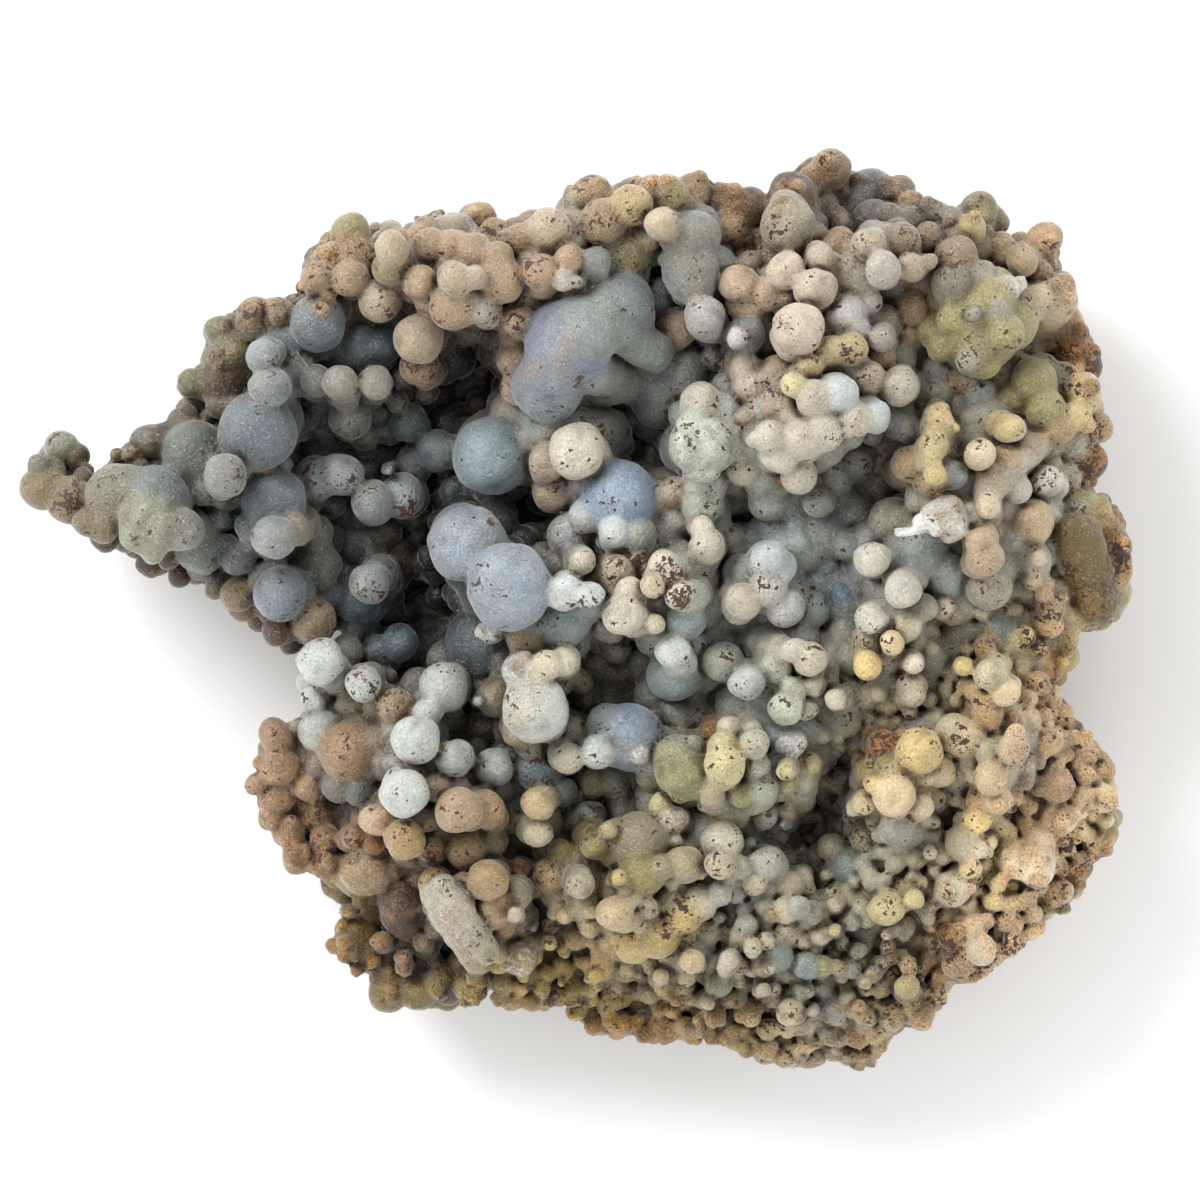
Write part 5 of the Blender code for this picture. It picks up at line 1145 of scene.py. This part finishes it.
def paint(obj, balls, field, origin, tops):
    """Stores tint and traits on the mesh for the material to read, with the painted shade of the creases and
    hollows.
    """
    mesh = obj.data
    verts = np.empty(3 * len(mesh.vertices), dtype=np.float32)
    normals = np.empty_like(verts)
    mesh.vertices.foreach_get("co", verts)
    mesh.vertices.foreach_get("normal", normals)
    verts = verts.reshape(-1, 3).astype(float) / MM
    normals = normals.reshape(-1, 3)
    inside = inside_distance(verts[:, 0], verts[:, 1])
    looks = blended_looks(verts, balls)
    looks[:, :3] *= low_dirt(verts[:, 0], verts[:, 1], inside) * tone_and_shade_patch(verts[:, 0], verts[:, 1])
    # Painted shade in the creases: the less room round a place, the darker
    room = [field_at(verts + normals * way, field, origin) / way for way in CREASE_WAYS]
    crease = 1 - np.clip(np.mean(room, axis=0), 0, 1)
    # Painted shade in the hollows: darker the further a place lies below the tops round it, away from the
    # edge
    spot = np.clip(((verts[:, :2] - origin[:2]) / CELL).round().astype(int), 0, np.array(tops.shape) - 1)
    depth = ramp(tops[tuple(spot.T)] - verts[:, 2], HOLLOW_START, HOLLOW_SPAN)
    depth *= ramp(inside, HOLLOW_RIM, HOLLOW_FADE)
    tint = np.ones((len(verts), 4), dtype=np.float32)
    grey = looks[:, :3].mean(axis=1, keepdims=True)
    tint[:, :3] = np.clip(grey + VIVID * (looks[:, :3] - grey), 0, 1) ** GAMMA
    # The tint's alpha carries the painted shade of the creases
    tint[:, 3] = crease
    traits = np.stack((looks[:, 3], looks[:, 4], looks[:, 5], depth), axis=1).astype(np.float32)
    for name, values in (("tint", tint), ("traits", traits)):
        layer = mesh.color_attributes.new(name, "FLOAT_COLOR", "POINT")
        layer.data.foreach_set("color", values.ravel())


def thin_out(obj):
    """Lowers the number of triangles, keeping them where the surface bends."""
    thin = obj.modifiers.new("thin", "DECIMATE")
    thin.ratio = KEPT_TRIANGLES
    evaluated = obj.evaluated_get(bpy.context.evaluated_depsgraph_get())
    mesh = bpy.data.meshes.new_from_object(evaluated)
    obj.modifiers.clear()
    old = obj.data
    obj.data = mesh
    bpy.data.meshes.remove(old)
    mesh.name = obj.name
    mesh.validate()
    mesh.polygons.foreach_set("use_smooth", np.ones(len(mesh.polygons), dtype=bool))


class Shading:
    """A material's node tree, with short ways to add and join nodes."""

    def __init__(self, name):
        self.material = bpy.data.materials.new(name)
        self.material.use_nodes = True
        self.tree = self.material.node_tree
        self.shader = self.tree.nodes["Principled BSDF"]
        coordinates = self.tree.nodes.new("ShaderNodeTexCoord")
        self.place = self.vector("SCALE", coordinates.outputs["Object"], scale=1 / MM)

    def join(self, source, target):
        """Links a socket, or sets a plain value."""
        if isinstance(source, bpy.types.NodeSocket):
            self.tree.links.new(source, target)
        else:
            target.default_value = source

    def vector(self, operation, value, scale):
        node = self.tree.nodes.new("ShaderNodeVectorMath")
        node.operation = operation
        self.join(value, node.inputs[0])
        node.inputs["Scale"].default_value = scale
        return node.outputs["Vector"]

    def attribute(self, name, output):
        node = self.tree.nodes.new("ShaderNodeAttribute")
        node.attribute_name = name
        return node.outputs[output]

    def math(self, operation, a, b=0.0, c=0.0, clamp=False):
        node = self.tree.nodes.new("ShaderNodeMath")
        node.operation = operation
        node.use_clamp = clamp
        for value, socket in zip((a, b, c), node.inputs):
            self.join(value, socket)
        return node.outputs["Value"]

    def between(self, value, low, high):
        """0 at low, 1 at high, smooth between."""
        node = self.tree.nodes.new("ShaderNodeMapRange")
        node.interpolation_type = "SMOOTHSTEP"
        self.join(value, node.inputs["Value"])
        self.join(low, node.inputs["From Min"])
        self.join(high, node.inputs["From Max"])
        return node.outputs["Result"]

    def noise(self, per_mm, detail, roughness):
        node = self.tree.nodes.new("ShaderNodeTexNoise")
        self.join(self.place, node.inputs["Vector"])
        node.inputs["Scale"].default_value = per_mm
        node.inputs["Detail"].default_value = detail
        node.inputs["Roughness"].default_value = roughness
        return node.outputs["Fac"]

    def mix(self, factor, a, b, blend="MIX"):
        node = self.tree.nodes.new("ShaderNodeMix")
        node.data_type = "RGBA"
        node.blend_type = blend
        self.join(factor, node.inputs["Factor"])
        self.join(a, node.inputs["A"])
        self.join(b, node.inputs["B"])
        return node.outputs["Result"]

    def split(self, colour):
        node = self.tree.nodes.new("ShaderNodeSeparateColor")
        self.join(colour, node.inputs["Color"])
        return [node.outputs[name] for name in ("Red", "Green", "Blue")]


def chalcedony():
    """Waxy chalcedony: cloudy tint with painted shade in hollows, creases and pits, painted glints, dark
    specks, rust in patches, druse that glitters and gritty crust.
    """
    look = Shading("chalcedony")
    druse, rust, grit = look.split(look.attribute("traits", "Color"))
    # The traits' alpha is the painted shade of the hollows
    depth = look.attribute("traits", "Alpha")
    coarse = look.noise(*COARSE_NOISE)
    middle = look.noise(*MIDDLE_NOISE)
    fine = look.noise(*FINE_NOISE)

    # Cloudy colour, with painted shade that darkens it towards the bottom of the hollows and in the creases
    shade = look.math("MULTIPLY_ADD", coarse, *SHADE_SLOPE)
    grain = look.math("MULTIPLY_ADD", fine, *GRAIN_SLOPE)
    colour = look.mix(1.0, look.attribute("tint", "Color"), look.math("MULTIPLY", shade, grain), "MULTIPLY")
    colour = look.mix(look.between(depth, 0.0, 1.0), colour, HOLLOW_SHADE_COLOUR, "MULTIPLY")
    # Painted shade, brownish, in the creases between the balls
    crease = look.between(look.attribute("tint", "Alpha"), *CREASE_EDGES)
    colour = look.mix(crease, colour, CREASE_SHADE_COLOUR, "MULTIPLY")

    # Painted glints: tiny pale specks in the skin of the balls
    pale = look.between(fine, *GLINT_EDGES)
    colour = look.mix(look.math("MULTIPLY", pale, GLINT_STRENGTH), colour, GLINT_COLOUR)

    # Rust stains
    stain = look.math("MULTIPLY_ADD", rust, STAIN_BY_RUST, coarse)
    stain = look.math("MULTIPLY_ADD", crease, STAIN_BY_CREASE, stain)
    stain = look.between(stain, *STAIN_EDGES)
    colour = look.mix(look.math("MULTIPLY", stain, STAIN_STRENGTH), colour, RUST_COLOUR)

    # Dark specks in loose groups, more of them where there is rust
    groups = look.math("MULTIPLY", look.noise(*GROUP_NOISE), GROUP_STRENGTH)
    groups = look.math("MULTIPLY_ADD", rust, GROUP_BY_RUST, groups)
    for texture, least in ((middle, MIDDLE_SPECKS), (look.noise(*SPOT_NOISE), SPOT_SPECKS)):
        speck = look.between(look.math("ADD", groups, texture), least, least + SPECK_EDGE)
        colour = look.mix(speck, colour, SPECK_COLOUR)

    # Painted shade in the pits between the grains of the crust
    pit_shade = look.math("MULTIPLY", look.between(fine, *PIT_SHADE_EDGES), grit)
    colour = look.mix(look.math("MULTIPLY", pit_shade, PIT_SHADE_STRENGTH), colour, CREASE_SHADE_COLOUR, "MULTIPLY")

    # Painted glints: bright facets in the druse
    facet_glint = look.math("MULTIPLY", look.between(middle, *FACET_GLINT_EDGES), druse)
    colour = look.mix(look.math("MULTIPLY", facet_glint, FACET_GLINT_STRENGTH), colour, FACET_GLINT_COLOUR)
    look.join(colour, look.shader.inputs["Base Color"])

    # Satin surface, duller in the grit and glassy in the druse
    rough = look.math("MULTIPLY_ADD", grain, *ROUGH_SLOPE)
    rough = look.math("MULTIPLY_ADD", grit, ROUGH_BY_GRIT, rough)
    rough = look.math("MULTIPLY_ADD", druse, ROUGH_BY_DRUSE, rough, clamp=True)
    look.join(rough, look.shader.inputs["Roughness"])
    height = look.math("MULTIPLY_ADD", look.math("MULTIPLY", fine, grit), BUMP_BY_GRIT, middle)
    bump = look.tree.nodes.new("ShaderNodeBump")
    bump.inputs["Strength"].default_value = BUMP_STRENGTH
    bump.inputs["Distance"].default_value = BUMP_HEIGHT * MM
    look.join(height, bump.inputs["Height"])
    look.join(bump.outputs["Normal"], look.shader.inputs["Normal"])
    look.shader.inputs["Sheen Weight"].default_value = SHEEN
    look.shader.inputs["Sheen Roughness"].default_value = SHEEN_ROUGHNESS
    return look.material


def make_floor():
    """Plain pale ground."""
    bpy.ops.mesh.primitive_plane_add(size=GROUND_SIZE, location=(0, 0, 0))
    floor = bpy.context.object
    floor.name = "ground"
    material = bpy.data.materials.new("ground")
    material.use_nodes = True
    shader = material.node_tree.nodes["Principled BSDF"]
    shader.inputs["Base Color"].default_value = GROUND_COLOUR
    shader.inputs["Roughness"].default_value = GROUND_ROUGHNESS
    floor.data.materials.append(material)


def make_light():
    """Soft light from a bright ring of sky, brightest at the upper left and dim straight above."""
    world = bpy.data.worlds.new("studio")
    bpy.context.scene.world = world
    world.use_nodes = True
    tree = world.node_tree
    background = tree.nodes["Background"]
    direction = tree.nodes.new("ShaderNodeTexCoord")
    axes = tree.nodes.new("ShaderNodeSeparateXYZ")
    ring = tree.nodes.new("ShaderNodeValToRGB")
    stops = ring.color_ramp.elements
    for stop, level in zip(stops, SKY_ENDS):
        stop.color = (level, level, level, 1)
    for position, level in SKY_STOPS:
        stops.new(position).color = (level, level, level, 1)
    tree.links.new(direction.outputs["Generated"], axes.inputs["Vector"])
    tree.links.new(axes.outputs["Z"], ring.inputs["Fac"])
    tree.links.new(ring.outputs["Color"], background.inputs["Color"])
    background.inputs["Strength"].default_value = SKY_STRENGTH
    lamp = bpy.data.lights.new("key", "AREA")
    lamp.shape = "DISK"
    lamp.size = KEY_SIZE
    lamp.energy = KEY_ENERGY
    obj = bpy.data.objects.new("key", lamp)
    obj.location = KEY_PLACE
    obj.rotation_euler = (Vector(KEY_AIM) - obj.location).to_track_quat("-Z", "Y").to_euler()
    bpy.context.collection.objects.link(obj)


def make_camera():
    """Looks straight down, with the top of the picture towards +Y."""
    data = bpy.data.cameras.new("camera")
    data.sensor_width = SENSOR
    data.lens = LENS
    camera = bpy.data.objects.new("camera", data)
    camera.location = (PICTURE_CENTRE[0] * MM, PICTURE_CENTRE[1] * MM, CAMERA_HEIGHT * MM)
    bpy.context.collection.objects.link(camera)
    bpy.context.scene.camera = camera


def build():
    """Builds the stone, its ground, its light and the camera."""
    random = np.random.default_rng(SEED)
    balls = measured_balls(random)
    for layer in FILLING:
        balls += filling_balls(random, *layer)
    balls += swept_balls(random)
    field, origin, axes = matrix_field()
    balls += side_balls(random, field, origin)
    balls = keep_in_box(np.array(balls))
    grow(field, origin, axes, balls, random)
    balls = np.concatenate((balls, shards((*SHARDS, *jags(random)), field, origin, axes)))
    grains = keep_in_box(crumbs(field, origin, axes, random))
    grow(field, origin, axes, grains, random)
    balls = np.concatenate((balls, grains))
    field = np.maximum(field, -axes[2])
    tops = local_tops(field, axes)
    stone = chalcedony()
    for name, verts, triangles, quads in cluster_meshes(field, origin, axes[:2]):
        cluster = make_mesh(name, verts, triangles, quads)
        thin_out(cluster)
        paint(cluster, balls, field, origin, tops)
        cluster.data.materials.append(stone)
        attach(cluster, "root")
        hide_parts("grape_agate")
    make_floor()
    make_light()
    make_camera()
    bpy.context.scene.view_settings.view_transform = "Standard"


build()
